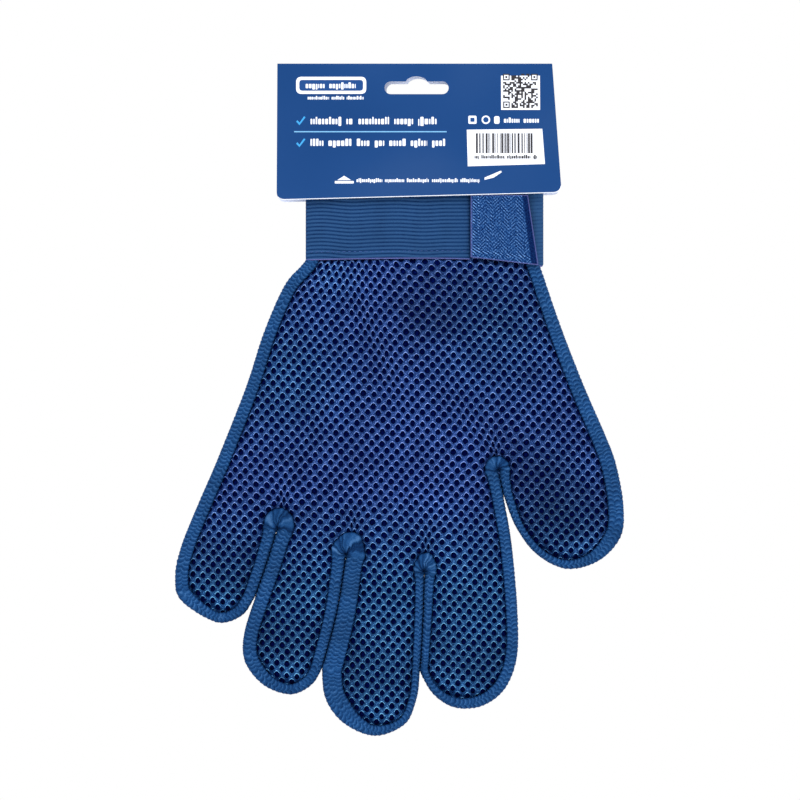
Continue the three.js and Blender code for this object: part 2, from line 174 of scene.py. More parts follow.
def gather_fan(slit, left_width, right_width):
    """The tape round the top of a slit: its points, the directions into the fabric, the widths that
    show and half the slit's width."""
    top, centre = np.array(slit[0]), np.array(slit[1])
    height = np.linalg.norm(top - centre)
    lean = math.atan2(*(top - centre))
    angle = np.linspace(math.pi * 0.98, math.pi * 0.02, 60)
    side = np.where(angle > math.pi / 2, left_width, right_width) + NOTCH
    reach = 1 / np.sqrt((np.cos(angle) / side) ** 2 + (np.sin(angle) / height) ** 2)
    turned = angle - lean * np.sin(angle)
    turn = np.stack([np.cos(turned), np.sin(turned)], 1)
    return centre + turn * NOTCH, turn, reach - NOTCH, np.full(len(turn), NOTCH)


def tape_widths(at, tip, tape):
    """How wide the tape shows at each distance along a finger's edge, whose tip is at tip."""
    reach = 0.5 * min(tip, at[-1] - tip, 50)
    stops = [0, tip - 1.4 * reach, tip - 0.7 * reach, tip, tip + 0.7 * reach, tip + 1.4 * reach, at[-1]]
    return np.interp(at, stops, np.array(tape)[[0, 1, 1, 2, 3, 3, 4]])


def slit_halves(at, side, half):
    """Half the slit's width at each distance from its top, run out to nothing at its mouth."""
    along = lengths(side)
    return np.interp(at, along, half, right=0) * np.clip((along[-1] - at) / 6, 0, 1)


def finger_edge(name):
    """One finger's edge, as gather_fan gives the tape round a slit's top."""
    finger = FINGERS[name]
    left, left_half = opened(finger["before"], 1)
    right, right_half = opened(finger["after"], -1)
    start = finger["before"] if name == "little" else left[::8]
    end = finger["after"] if name == "thumb" else right[::8]
    line = softened(smooth_line([*start, *finger["edge"], *end[::-1]]), 6)
    at = lengths(line)
    tip = at[np.argmax(line @ joint_of(base_of(name))[1])]
    half = np.zeros(len(line))
    if name != "little":
        half += slit_halves(at, left, left_half)
    if name != "thumb":
        half += slit_halves(at[-1] - at, right, right_half)
    return line, normals(line), tape_widths(at, tip, finger["tape"]), half


def edge_path():
    """The glove's edge from the cuff's left, round every finger, to the cuff's right: its points,
    the unit direction into the fabric, how wide the tape shows, and half the slit's width."""
    parts = []
    fingers = list(FINGERS.items())
    for (name, finger), (_, following) in zip(fingers, fingers[1:] + [(None, None)]):
        parts.append(finger_edge(name))
        if following:
            parts.append(gather_fan(finger["after"], finger["tape"][-1], following["tape"][0]))
    points, inward, width, gap = (np.concatenate(values) for values in zip(*parts))
    width, gap = width[:, None], gap[:, None]
    middle = points + inward * width / 2
    _, points, inward, width, gap = resample(middle, RIB_PITCH / STEPS_PER_RIB, points, inward, width, gap)
    in_slit = np.clip(gap / 0.3, 0, 1)
    inward = inward * in_slit + softened(inward, 20) * (1 - in_slit)
    inward /= np.linalg.norm(inward, axis=1)[:, None]
    return points, inward, softened(width, 12)[:, 0], gap[:, 0]


EDGE, INWARD, TAPE_WIDTH, SLIT_HALF = edge_path()

# The mesh starts to rise a little way inside the tape, most of all at the lower left of each tip.
CREVICE = 1.7 * np.clip(-INWARD @ np.array([-0.35, -0.94]), 0, 1) ** 4 * (SLIT_HALF == 0)


def tree_of(steps):
    """A search tree of some steps of the glove's edge."""
    tree = KDTree(len(steps))
    for i in steps:
        tree.insert((EDGE[i, 0], 0, EDGE[i, 1]), int(i))
    tree.balance()
    return tree


WHOLE_EDGE = tree_of(np.arange(len(EDGE)))


def inside_tape(points):
    """How far each point (x, z) lies inside the tape's inner edge; less than 0 is under it."""
    found = [WHOLE_EDGE.find((x, 0, z)) for x, z in points]
    return np.array([distance - TAPE_WIDTH[i] - CREVICE[i] for _, i, distance in found])


def tucked_in(points, tree):
    """Points (x, z), those past the edge in the tree drawn back to lie inside the tape's fold, and
    the step of the edge that each was drawn back to, or -1."""
    points = points.copy()
    drawn_to = np.full(len(points), -1)
    for k, (x, z) in enumerate(points):
        _, i, distance = tree.find((x, 0, z))
        depth = (points[k] - EDGE[i]) @ INWARD[i]
        if depth < TAPE_INSIDE and distance < EDGE_REACH:
            points[k] += INWARD[i] * (TAPE_INSIDE - depth)
            drawn_to[k] = i
    return points, drawn_to


def in_one_finger(faces, drawn_to):
    """The faces that don't reach across a slit from one finger's edge to the next one's."""
    steps = drawn_to[faces].astype(float)
    high = np.where(steps < 0, -np.inf, steps).max(1)
    low = np.where(steps < 0, np.inf, steps).min(1)
    return faces[high - low <= MOST_STEPS]


def in_polygon(points, polygon):
    """Whether each point (x, z) lies inside a closed outline."""
    inside = np.zeros(len(points), bool)
    x, z = points.T
    for a, b in zip(polygon, np.roll(polygon, -1, axis=0)):
        crosses = (a[1] > z) != (b[1] > z)
        level = (z - a[1]) / (b[1] - a[1] if b[1] != a[1] else 1e-9)
        inside ^= crosses & (x < a[0] + (b[0] - a[0]) * level)
    return inside


# ---------------------------------------------------------------- how the pieces split and bend

BEND_LENGTH = 8.0  # of fabric that turns at a knuckle


class Segment:
    """A stretch of the glove on one body, or turning between two."""

    def __init__(self, name, finger=None, start=-math.inf, end=math.inf, bodies=("palm",), bend=None):
        self.name, self.finger, self.start, self.end = name, finger, start, end
        self.bodies, self.bend = bodies, bend

    def attach(self, piece):
        """Puts a piece on the segment's body; on a segment that turns between two bodies, it only bakes the
        piece's transform.
        """
        if self.bend is None:
            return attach(piece, self.bodies[0])
        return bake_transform(piece)


def segments():
    """The palm, two segments a finger and the thumb."""
    found = [Segment("palm")]
    for name, finger in FINGERS.items():
        base = base_of(name)
        knuckle, along = joint_of(base)
        tops = [np.array(slit[1]) for slit in (finger["before"], finger["after"])
                if slit is not LITTLE_EDGE and slit is not THUMB_EDGE]
        start = max((top - knuckle) @ along for top in tops) - 0.5
        bend = (knuckle + along * start, knuckle + along * (start + BEND_LENGTH))
        if name == "thumb":
            found.append(Segment(name, name, start, math.inf, ("palm", name), bend))
            continue
        joint = joint_of(f"{name}_tip")[0]
        reach = (joint - knuckle) @ along
        split = start + BEND_LENGTH + 0.3 * (reach - BEND_LENGTH / 2 - start - BEND_LENGTH)
        middle_bend = (joint - along * BEND_LENGTH / 2, joint + along * BEND_LENGTH / 2)
        found.append(Segment(base, name, start, split, ("palm", base), bend))
        found.append(Segment(f"{name}_tip", name, split, math.inf, (base, f"{name}_tip"), middle_bend))
    return found


SEGMENTS = segments()


def finger_polygon(name):
    """A finger's whole outline from its slits' tops, closed across the palm."""
    finger = FINGERS[name]
    start = 0 if name == "little" else 1
    end = 0 if name == "thumb" else 1
    return smooth_line([*finger["before"][start:], *finger["edge"], *finger["after"][end:][::-1]], 3)


def segment_of(points):
    """The index in SEGMENTS of the segment that each point (x, z) belongs to."""
    owner = np.zeros(len(points), int)
    for name in FINGERS:
        knuckle, along = joint_of(base_of(name))
        reach = (points - knuckle) @ along
        mine = in_polygon(points, finger_polygon(name))
        for i, segment in enumerate(SEGMENTS):
            if segment.finger == name:
                owner[mine & (reach >= segment.start) & (reach < segment.end)] = i
    return owner


def edge_trees():
    """A search tree for each finger, of its own edge and the palm's, and one of the whole edge."""
    owner = segment_of(EDGE + INWARD * TAPE_WIDTH[:, None] / 2)
    trees = {None: WHOLE_EDGE}
    for name in FINGERS:
        own = [i for i, segment in enumerate(SEGMENTS) if segment.finger in (None, name)]
        trees[name] = tree_of(np.flatnonzero(np.isin(owner, own)))
    return trees


EDGE_TREES = edge_trees()


# ---------------------------------------------------------------- making pieces

def linear(*srgb):
    """A colour given as 0-255 sRGB, as the linear colour that a shader takes."""
    shares = [c / 255 for c in srgb]
    return [c / 12.92 if c <= 0.04045 else ((c + 0.055) / 1.055) ** 2.4 for c in shares] + [1]


def outward(points, faces):
    """The faces of a closed shell, turned round if they face inwards."""
    volume = 0.0
    for face in faces:
        a = points[face[0]]
        for b, c in zip(face[1:], face[2:]):
            volume += a @ np.cross(points[b], points[c])
    return faces if volume > 0 else [face[::-1] for face in faces]


def make_piece(name, points, faces, material, values=None, smooth=True):
    """A mesh object from points in mm, with its place at rest kept for its textures."""
    mesh = bpy.data.meshes.new(name)
    points = np.asarray(points, float)
    mesh.from_pydata((points * MM).tolist(), [], [list(map(int, face)) for face in faces])
    mesh.polygons.foreach_set("use_smooth", np.full(len(mesh.polygons), smooth))
    rest = mesh.attributes.new("rest", "FLOAT_VECTOR", "POINT")
    rest.data.foreach_set("vector", points.ravel())
    for label, numbers in (values or {}).items():
        attribute = mesh.attributes.new(label, "FLOAT", "POINT")
        attribute.data.foreach_set("value", np.asarray(numbers, np.float32))
    for each in (material if isinstance(material, list) else [material]):
        mesh.materials.append(each)
    piece = bpy.data.objects.new(name, mesh)
    bpy.context.scene.collection.objects.link(piece)
    return piece


def grid_faces(rows, columns, closed=False, first=0):
    """Quads between neighbouring rows of a grid of points; closed joins the last column to the first."""
    faces = []
    for r in range(rows - 1):
        for c in range(columns if closed else columns - 1):
            d = (c + 1) % columns
            a, b = first + r * columns, first + (r + 1) * columns
            faces.append([a + c, a + d, b + d, b + c])
    return faces


def tube_faces(rows, count, first=0):
    """The faces of a closed solid made of rows of points, count to a row, capped at both ends."""
    last = first + (rows - 1) * count
    caps = [list(range(first, first + count))[::-1], list(range(last, last + count))]
    return grid_faces(rows, count, closed=True, first=first) + caps


def nodes_of(body):
    """The names of a body's CAD nodes."""
    return frame["record"]["behaviour"]["bodies"][body]


def value_noise(at, seed):
    """Smooth random values from -1 to 1 along one number, with a step of 1."""
    knots = np.random.default_rng(seed).uniform(-1, 1, 4096)
    low = np.floor(at).astype(int)
    t = at - low
    t = t * t * (3 - 2 * t)
    return knots[low % 4096] * (1 - t) + knots[(low + 1) % 4096] * t


# ---------------------------------------------------------------- materials

PALE_EDGE = (112, 116, 182)  # the pale colour along the edges of the elastic and the fuzzy tape, in sRGB 0-255


class Nodes:
    """Builds one material's node tree."""

    def __init__(self, name, roughness=0.7, sheen=0.0, specular=0.08):
        self.material = bpy.data.materials.new(name)
        self.material.use_nodes = True
        self.tree = self.material.node_tree
        self.shader = self.tree.nodes["Principled BSDF"]
        self.shader.inputs["Roughness"].default_value = roughness
        self.shader.inputs["Sheen Weight"].default_value = sheen
        self.shader.inputs["Sheen Roughness"].default_value = 0.5
        self.shader.inputs["Specular IOR Level"].default_value = specular

    def node(self, kind, **settings):
        node = self.tree.nodes.new(kind)
        for name, value in settings.items():
            setattr(node, name, value)
        return node

    def link(self, source, target):
        self.tree.links.new(source, target)

    def value(self, label):
        """A number kept on the mesh."""
        return self.node("ShaderNodeAttribute", attribute_name=label).outputs["Fac"]

    def rest(self, scale=(1, 1, 1)):
        """The point's place at rest, in mm, scaled."""
        place = self.node("ShaderNodeAttribute", attribute_name="rest").outputs["Vector"]
        mapping = self.node("ShaderNodeMapping")
        mapping.inputs["Scale"].default_value = scale
        self.link(place, mapping.inputs["Vector"])
        return mapping.outputs["Vector"]

    def noise(self, size, detail=2.0, stretch=(1, 1, 1), contrast=1.0):
        """Noise with features about size mm across, from 0 to 1."""
        node = self.node("ShaderNodeTexNoise")
        node.inputs["Scale"].default_value = 1.0 / size
        node.inputs["Detail"].default_value = detail
        self.link(self.rest(stretch), node.inputs["Vector"])
        if contrast == 1.0:
            return node.outputs["Fac"]
        spread = self.node("ShaderNodeMapRange")
        spread.inputs["From Min"].default_value = 0.5 - 0.5 / contrast
        spread.inputs["From Max"].default_value = 0.5 + 0.5 / contrast
        self.link(node.outputs["Fac"], spread.inputs["Value"])
        return spread.outputs["Result"]

    def math(self, operation, a, b):
        node = self.node("ShaderNodeMath", operation=operation)
        for socket, value in zip(node.inputs, (a, b)):
            if isinstance(value, (int, float)):
                socket.default_value = value
            else:
                self.link(value, socket)
        return node.outputs["Value"]

    def ramp(self, value, *stops):
        """A colour for each value: stops are (value, (r, g, b) in sRGB 0-255)."""
        node = self.node("ShaderNodeValToRGB")
        elements = node.color_ramp.elements
        while len(elements) < len(stops):
            elements.new(0.5)
        for element, (place, colour) in zip(elements, stops):
            element.position = place
            element.color = linear(*colour)
        self.link(value, node.inputs["Fac"])
        return node.outputs["Color"]

    def mix(self, factor, a, b, blend="MIX"):
        node = self.node("ShaderNodeMix", data_type="RGBA", blend_type=blend)
        for index, value in ((0, factor), (6, a), (7, b)):
            if isinstance(value, (int, float, list, tuple)):
                node.inputs[index].default_value = value
            else:
                self.link(value, node.inputs[index])
        return node.outputs[2]

    def spread(self, value, amount, start):
        """A number times amount, plus start."""
        return self.math("ADD", self.math("MULTIPLY", value, amount), start)

    def toned(self, noise, amount):
        """The mesh's own tone, strayed either way by noise from 0 to 1."""
        stray = self.math("MULTIPLY", self.math("SUBTRACT", noise, 0.5), amount)
        return self.math("ADD", self.value("tone"), stray)

    def scaled(self, colour, factor):
        """A colour times a number."""
        node = self.node("ShaderNodeVectorMath", operation="SCALE")
        self.link(colour, node.inputs["Vector"])
        self.link(factor, node.inputs["Scale"])
        return node.outputs["Vector"]

    def finish(self, colour, bump, distance, strength=0.6, roughness=None):
        """Joins the colour, and a bump whose height is distance in mm, to the shader."""
        self.link(colour, self.shader.inputs["Base Color"])
        if roughness is not None:
            self.link(roughness, self.shader.inputs["Roughness"])
        node = self.node("ShaderNodeBump")
        node.inputs["Strength"].default_value = strength
        node.inputs["Distance"].default_value = distance * MM
        self.link(bump, node.inputs["Height"])
        self.link(node.outputs["Normal"], self.shader.inputs["Normal"])
        return self.material


def net_material():
    n = Nodes("spacer mesh knit", roughness=0.55, specular=0.05)
    # Fine fibre noise: the fibres' own texture, which also paints small glints on the mesh as painted highlights.
    fibres_and_glints = n.noise(0.33, 3.0, contrast=2.4)
    colour = n.ramp(
        n.toned(fibres_and_glints, 0.7), (0.0, (0, 3, 38)), (0.2, (1, 8, 52)), (0.42, (12, 36, 84)),
        (0.6, (28, 58, 116)), (0.8, (66, 96, 164)), (1.0, (134, 160, 226)),
    )
    patch = n.spread(n.noise(14, 1.0, contrast=1.7), 0.4, 0.8)
    # Painted light and shade: the colour is scaled by the mesh's "shade" value, and by random patches.
    colour = n.scaled(colour, n.math("MULTIPLY", n.value("shade"), patch))
    teal = n.mix(n.value("teal"), colour, (0.8, 1.42, 1.05, 1), "MULTIPLY")
    return n.finish(teal, fibres_and_glints, 0.12)


def tape_material():
    n = Nodes("edge tape knit", roughness=0.8, specular=0.05)
    yarn = n.noise(0.45, 3.0, contrast=1.8)
    tone = n.math("ADD", n.value("tone"), n.math("MULTIPLY", yarn, 0.24))
    colour = n.ramp(tone, (0.1, (2, 20, 56)), (0.42, (14, 50, 94)), (0.7, (27, 68, 116)),
                    (1.0, (62, 102, 150)))
    patch = n.spread(n.noise(12, 2.0, contrast=1.8), 0.45, 0.78)
    return n.finish(n.scaled(colour, patch), yarn, 0.14, 0.8)


def shaded_lining_material():
    # The lining is a real layer behind the mesh, coloured near black as painted shade seen down the holes.
    n = Nodes("mesh lining knit in painted shade", roughness=0.9, specular=0.0)
    knit = n.noise(0.6, 2.0, contrast=1.5)
    return n.finish(n.ramp(knit, (0.2, (0, 2, 40)), (0.8, (3, 15, 76))), knit, 0.1)


def cloth_material():
    n = Nodes("palm cloth knit", roughness=0.85, sheen=0.08)
    weave = n.node("ShaderNodeTexVoronoi")
    weave.inputs["Scale"].default_value = 1.2
    n.link(n.rest((1, 1, 1.6)), weave.inputs["Vector"])
    patch = n.noise(15, 2.0)
    tone = n.math("ADD", n.math("MULTIPLY", weave.outputs["Distance"], 0.7), n.math("MULTIPLY", patch, 0.3))
    colour = n.ramp(tone, (0.1, (34, 58, 112)), (0.45, (22, 40, 84)), (0.8, (10, 20, 50)))
    return n.finish(colour, weave.outputs["Distance"], 0.2)


def rubber_material():
    n = Nodes("moulded rubber", roughness=0.45, specular=0.4)
    grain = n.noise(0.8, 3.0)
    patch = n.noise(14, 2.0, contrast=1.4)
    colour = n.ramp(patch, (0.2, (22, 62, 134)), (0.8, (34, 80, 158)))
    return n.finish(colour, grain, 0.04, roughness=n.spread(grain, 0.25, 0.36))


def elastic_material():
    n = Nodes("ribbed elastic", roughness=0.8, specular=0.05)
    weave = n.noise(0.35, 2.0, stretch=(1, 1, 2.2), contrast=1.6)
    colour = n.ramp(n.toned(weave, 0.4), (0.0, (2, 24, 62)), (0.5, (16, 48, 90)), (1.0, (40, 74, 116)))
    colour = n.scaled(colour, n.spread(n.noise(16, 2.0, contrast=1.5), 0.25, 0.87))
    return n.finish(n.mix(n.value("edge"), colour, linear(*PALE_EDGE)), weave, 0.1)


def patch_material():
    n = Nodes("loop tape pile", roughness=0.85, specular=0.05)
    pile = n.noise(0.45, 3.0, contrast=2.2)
    colour = n.ramp(n.toned(pile, 0.7), (0.0, (0, 16, 62)), (0.35, (12, 44, 94)), (0.62, (30, 70, 124)),
                    (1.0, (104, 148, 204)))
    edge = n.math("MULTIPLY", n.value("edge"), 0.6)
    return n.finish(n.mix(edge, colour, linear(*PALE_EDGE)), pile, 0.2)


def hook_material():
    n = Nodes("hook tape", roughness=0.7, specular=0.08)
    grain = n.noise(0.5, 2.0)
    tone = n.math("ADD", n.value("tone"), n.math("MULTIPLY", grain, 0.2))
    return n.finish(n.ramp(tone, (0.1, (4, 16, 52)), (0.9, (44, 80, 142))), grain, 0.1)


def thread_material():
    n = Nodes("sewing thread", roughness=0.6, sheen=0.2)
    twist = n.noise(0.25, 2.0, contrast=1.6)
    return n.finish(n.ramp(twist, (0.1, (14, 48, 104)), (0.9, (58, 96, 158))), twist, 0.1)


def card_material():
    n = Nodes("printed card", roughness=0.6, specular=0.08)
    shade = n.noise(60, 1.0, contrast=1.8)
    colour = n.ramp(shade, (0.1, (10, 54, 106)), (0.5, (18, 59, 112)), (0.9, (32, 66, 116)))
    grain = n.noise(1.4, 2.0)
    return n.finish(colour, grain, 0.02)


def ink_material(name, *colours):
    """A printed ink or bare card: its colour varies a little between the two given."""
    n = Nodes(name, roughness=0.6, specular=0.1)
    speckle = n.noise(0.7, 3.0, contrast=1.4)
    return n.finish(n.ramp(speckle, (0.1, colours[0]), (0.9, colours[-1])), speckle, 0.02)


# ---------------------------------------------------------------- the edge tape

BACK_WIDTH = 5.0  # of the tape on the palm side
GATHER_LIFT = 0.5  # how far the gathered tape at a slit's top stands out
FRONT_POINTS = 9  # across the tape's face
SCALE_WIDTH = 3.1  # of one scale of the tape's knit
KNIT_DEPTH = 0.5


def tape_sections():
    """The tape's cross-section at every step along the edge: points as (inward, y), for all steps,
    the direction in which its knit pushes each outside point, and how many points are outside."""
    w = TAPE_WIDTH[:, None]
    t = np.linspace(1, 0, FRONT_POINTS)
    from_edge = [0.32, 0.05, 0, 0, 0.12, 0.8, 1.8, 3.2, BACK_WIDTH - 0.9, BACK_WIDTH, BACK_WIDTH - 0.2,
                 1.8, 1.1, 1.0, 1.1, 1.8]
    from_edge = np.repeat([from_edge], len(w), axis=0)
    inward = np.hstack([w, w - 0.25, w - 0.8, 0.9 + (w - 2.2) * t, from_edge, w - 0.5])
    front_y = -6.08 + 0.34 * np.abs(2 * t - 1) ** 3
    side_y = [-4.9, -3.6, -1.6, 1.2, 3.1, 4.2, 4.65, 4.8, 4.75, 4.3]
    inner_y = [3.8, 3.7, 2.9, 0, -3.4, -4.5, -4.6]
    y = np.concatenate([[-4.9, -5.45, -5.8], front_y, side_y, inner_y])
    push_inward = np.concatenate([[0.3, 0.3, 0.15], -0.5 * np.clip(1 - t * 4, 0, 1),
                                  [-0.75, -0.95, -1, -1, -0.95, -0.6, -0.2, 0, 0.2, 0.4]])
    push_y = np.concatenate([[-0.3, -0.8, -1], np.full(FRONT_POINTS, -1.0),
                             [-0.5, -0.3, 0, 0, 0.3, 0.75, 1, 1, 0.9, 0.5]])
    shut = SLIT_HALF * np.where(SLIT_HALF > 0.4, 1.5, 1.1)
    before_back = np.arange(len(y)) < FRONT_POINTS + len(side_y)
    closing = shut[:, None] * np.clip((y[None] + 4.6) / 2, 0, 1) * before_back
    return inward - closing, y, push_inward, push_y, len(y) - len(inner_y)


def knit(along, across):
    """The tape's knit, 0 to 1: rows of soft scales, in columns that are out of step."""
    across = across / SCALE_WIDTH + 0.3 * value_noise(along / 4, 17)
    column = np.floor(across)
    bow = 1.6 * (across - column - 0.5) ** 2
    row = (along + 0.42 * column + bow + 0.12 * value_noise(along * 1.3 + 7 * column, 18)) % 1
    return np.minimum(4.5 * row, 1.18 - 0.95 * row)


def gather_amount():
    """How strongly the tape is gathered at each step: 1 round a slit's top, 0 along a finger."""
    turn = np.linalg.norm(np.gradient(INWARD, axis=0), axis=1) * STEPS_PER_RIB / RIB_PITCH
    kernel = np.hanning(15) / np.hanning(15).sum()
    return np.clip(np.convolve(turn / 0.16, kernel, mode="same"), 0, 1) ** 2


def lengths_over(inward, y):
    """How far round the tape's section each outside point is, for every step."""
    across = np.diff(inward, axis=1, prepend=inward[:, :1])
    return np.cumsum(np.hypot(across, np.diff(y, prepend=y[0])), axis=1)


def tape_surface():
    """The tape's points and tones: a row round its section for every step along the edge."""
    at = np.arange(len(EDGE)) / STEPS_PER_RIB
    at = (at + 0.28 * value_noise(at / 2.3, 11) + 0.5 * value_noise(at / 9, 12))[:, None]
    gather = gather_amount()[:, None]
    inward, y, push_inward, push_y, outside = tape_sections()
    hidden = (0, len(y) - outside)
    from_slit = inward[:, :outside]
    face = lengths_over(from_slit, y[:outside])
    scale = knit(at, face) * (1 - gather) + 0.6 * gather
    wander = at * 1.5 + 0.22 * face + 0.4 * value_noise(face * 0.8, 16)
    pleats = 1.3 * np.abs(value_noise(wander, 14)) - 0.6 + 0.3 * value_noise(wander * 2.1, 15)
    height = KNIT_DEPTH * (scale - 0.6) * (1 + 0.3 * value_noise(at, 13))
    folds = gather * pleats * np.clip(from_slit / 2, 0.3, 1)
    height = np.pad(height + folds + gather * GATHER_LIFT, ((0, 0), hidden))
    outward_shift = inward + height * np.pad(push_inward, hidden)
    place = EDGE[:, None, :] + INWARD[:, None, :] * outward_shift[..., None]
    points = np.dstack([place[..., 0], y + height * np.pad(push_y, hidden), place[..., 1]])
    # Painted shade: darker in the notch at each slit's top and along the tape's inner lip beside the mesh. The
    # tone also follows the knit's scales and the pleats, as painted light on their tops and painted shade in their
    # hollows.
    dark = 0.42 * gather * np.clip(1.2 - from_slit / 1.8, 0, 1) + 0.2 * (np.arange(outside) < 2)
    return points, np.pad(0.02 + 0.78 * scale + 0.6 * folds - dark, ((0, 0), hidden))


def make_tape(material):
    """The tape round each segment, as one closed solid for each run of its edge."""
    points, tone = tape_surface()
    count = points.shape[1]
    owner = segment_of(EDGE + INWARD * TAPE_WIDTH[:, None] / 2)
    for i, segment in enumerate(SEGMENTS):
        steps = np.flatnonzero(owner == i)
        parts, tones, faces, first = [], [], [], 0
        for run in np.split(steps, np.flatnonzero(np.diff(steps) > 1) + 1):
            run = np.append(run, run[-1] + 1) if run[-1] + 1 < len(EDGE) else run
            parts.append(points[run].reshape(-1, 3))
            tones.append(tone[run].ravel())
            faces += tube_faces(len(run), count, first)
            first += len(run) * count
        parts = np.vstack(parts)
        piece = make_piece(f"edge_tape_{segment.name}", parts, outward(parts, faces), material,
                           {"tone": np.concatenate(tones)})
        segment.attach(piece)
        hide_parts(*[node for node in nodes_of(segment.bodies[-1]) if "binding" in node])


# ---------------------------------------------------------------- the spacer mesh and the palm cloth

ACROSS = np.array([4.4, -0.5])  # from one hole to the next in a row
UP = np.array([0.05, 2.65])  # from a hole to the crossing of strands above it
HOLE = np.array([1.12, 1.36])  # half its width and height
FIRST_HOLE = np.array([-10.0, -50.0])
MESH_REACH = 110  # how far the holes go either side of the first one
MESH_BOTTOM, MESH_TOP = -262, -38
CELL_SIDES = 16
NET_EDGE_Y = -4.3
NET_DOME = 4.3
NET_ROUND = 11.0  # how far in from the tape the mesh has risen to its full height
LINING_DEPTH = 1.0  # behind the mesh
CLOTH_Y = 4.25

# Soft folds of the mesh: the middle, the way it runs and how far, its width and how much it draws in.
FOLDS = [(-20, -82, 14, -30, 11, 0.26), (22, -118, 16, -20, 10, 0.24), (-48, -120, -10, -22, 9, 0.12)]
SLITS = [LITTLE_RING, RING_MIDDLE, MIDDLE_INDEX, INDEX_THUMB]


def lattice():
    """The centres of the mesh's holes over the whole glove, before any gathering."""
    step = ACROSS / 2 + UP
    rows, columns = np.meshgrid(np.arange(-20, 100), np.arange(-80, 60), indexing="ij")
    centres = FIRST_HOLE + columns.reshape(-1, 1) * ACROSS - rows.reshape(-1, 1) * step
    beside = np.abs(centres[:, 0] - FIRST_HOLE[0])
    return centres[(beside < MESH_REACH) & (centres[:, 1] > MESH_BOTTOM) & (centres[:, 1] < MESH_TOP)]


def gathered(points):
    """Points of the flat mesh drawn together above each slit and under the cuff."""
    points = points.copy()
    for slit in SLITS:
        away = points - np.array(slit[0]) - [0, 1.5]
        pull = 0.5 * np.exp(-(away[:, 0] ** 2 / 75 + away[:, 1] ** 2 / 80))
        points[:, 0] -= away[:, 0] * pull
    under_cuff = np.clip(np.exp((points[:, 1] - CUFF_BOTTOM) / 16), 0, 1)
    left = 1 / (1 + np.exp((points[:, 0] + 3) / 6))
    points[:, 0] -= 0.3 * (points[:, 0] + 28) * under_cuff * left
    for fold in FOLDS:
        across, amount = fold_at(points, fold)
        points[:, 0] -= fold[5] * across * amount
    return points


def fold_at(points, fold):
    """How far each point lies across a soft fold of the mesh, and how much of the fold it takes."""
    x, z, run_x, run_z, width, _ = fold
    run = np.hypot(run_x, run_z)
    away = points - [x, z]
    along = (away @ [run_x, run_z]) / run
    across = (away @ [-run_z, run_x]) / run
    return across, np.exp(-((across / width) ** 2) - (along / run) ** 2)


def mesh_y(points, inside):
    """The y of the mesh's back surface: crowned between the tapes, drawn in at the cuff."""
    def crown(distance, reach):
        left = 1 - np.clip(distance / reach, 0, 1)
        return np.sqrt(1 - left**2)

    below_cuff = CUFF_BOTTOM - points[:, 1]
    rise = crown(inside, NET_ROUND) * crown(below_cuff + 0.5, 14)
    y = NET_EDGE_Y - NET_DOME * rise - 0.9 * crown(inside - NET_ROUND, 40)
    y += 0.35 * np.clip(-inside, 0, 3)
    x = points[:, 0]
    pucker = np.exp(-np.clip(below_cuff, 0, None) / 6) * rise
    y -= 0.9 * pucker * np.sin(x * 2 * math.pi / 7.5 + 1.2 * value_noise(x / 9, 21))
    for top, notch in ((np.array(slit[0]), np.array(slit[1])) for slit in SLITS):
        away = points - notch
        distance = np.linalg.norm(away, axis=1) - np.linalg.norm(top - notch)
        turn = np.arctan2(away[:, 1], away[:, 0])
        y -= 0.45 * rise * np.cos(turn * 13) * np.exp(-np.clip(distance, 0, None) / 3.5)
    for fold in FOLDS:
        across, amount = fold_at(points, fold)
        y -= 0.9 * rise * amount * np.cos(across * 0.4)
    return y


def from_tip(points):
    """How far each point lies above the end of its finger, and far away where it is on the palm."""
    left = np.full(len(points), 200.0)
    for name in FINGERS:
        polygon = finger_polygon(name)
        along = joint_of(base_of(name))[1]
        mine = in_polygon(points, polygon)
        left[mine] = ((polygon @ along).max() - points @ along)[mine]
    return left


# Painted light and shade on the mesh, as broad light and dark patches: (x, z, radius, change).
PAINTED_LIGHT_PATCHES = [(5, -145, 26, 0.24), (50, -140, 17, -0.42), (62, -160, 15, -0.16), (3, -68, 17, -0.36),
          (32, -60, 20, -0.25), (-38, -58, 13, 0.22), (-22, -212, 16, -0.14), (-62, -208, 14, -0.14)]
TEALS = [(-62, -95, 26, 0.7), (35, -75, 30, 0.5), (-40, -52, 12, 0.4), (60, -150, 22, 0.4)]


def patches(points, places):
    """The sum, at each point, of soft round patches: (x, z, radius, amount)."""
    return sum(amount * np.exp(-((points[:, 0] - x) ** 2 + (points[:, 1] - z) ** 2) / radius**2)
               for x, z, radius, amount in places)


def painted_shading_of(points):
    """How bright the mesh is, as painted light and shade: painted shade along the lower half of each finger and a
    painted highlight at its end.
    """
    left = from_tip(points)
    shade = 1 - 0.25 * np.exp(-((left - 24) / 12) ** 2) + 0.32 * np.exp(-((left - 8) / 5) ** 2)
    return shade + patches(points, PAINTED_LIGHT_PATCHES)


def teal_of(points):
    """How far the mesh turns to teal: more towards the fingertips."""
    teal = np.clip((-148 - points[:, 1]) / 40, 0, 1)
    return np.clip(teal + patches(points, TEALS), 0, 1)


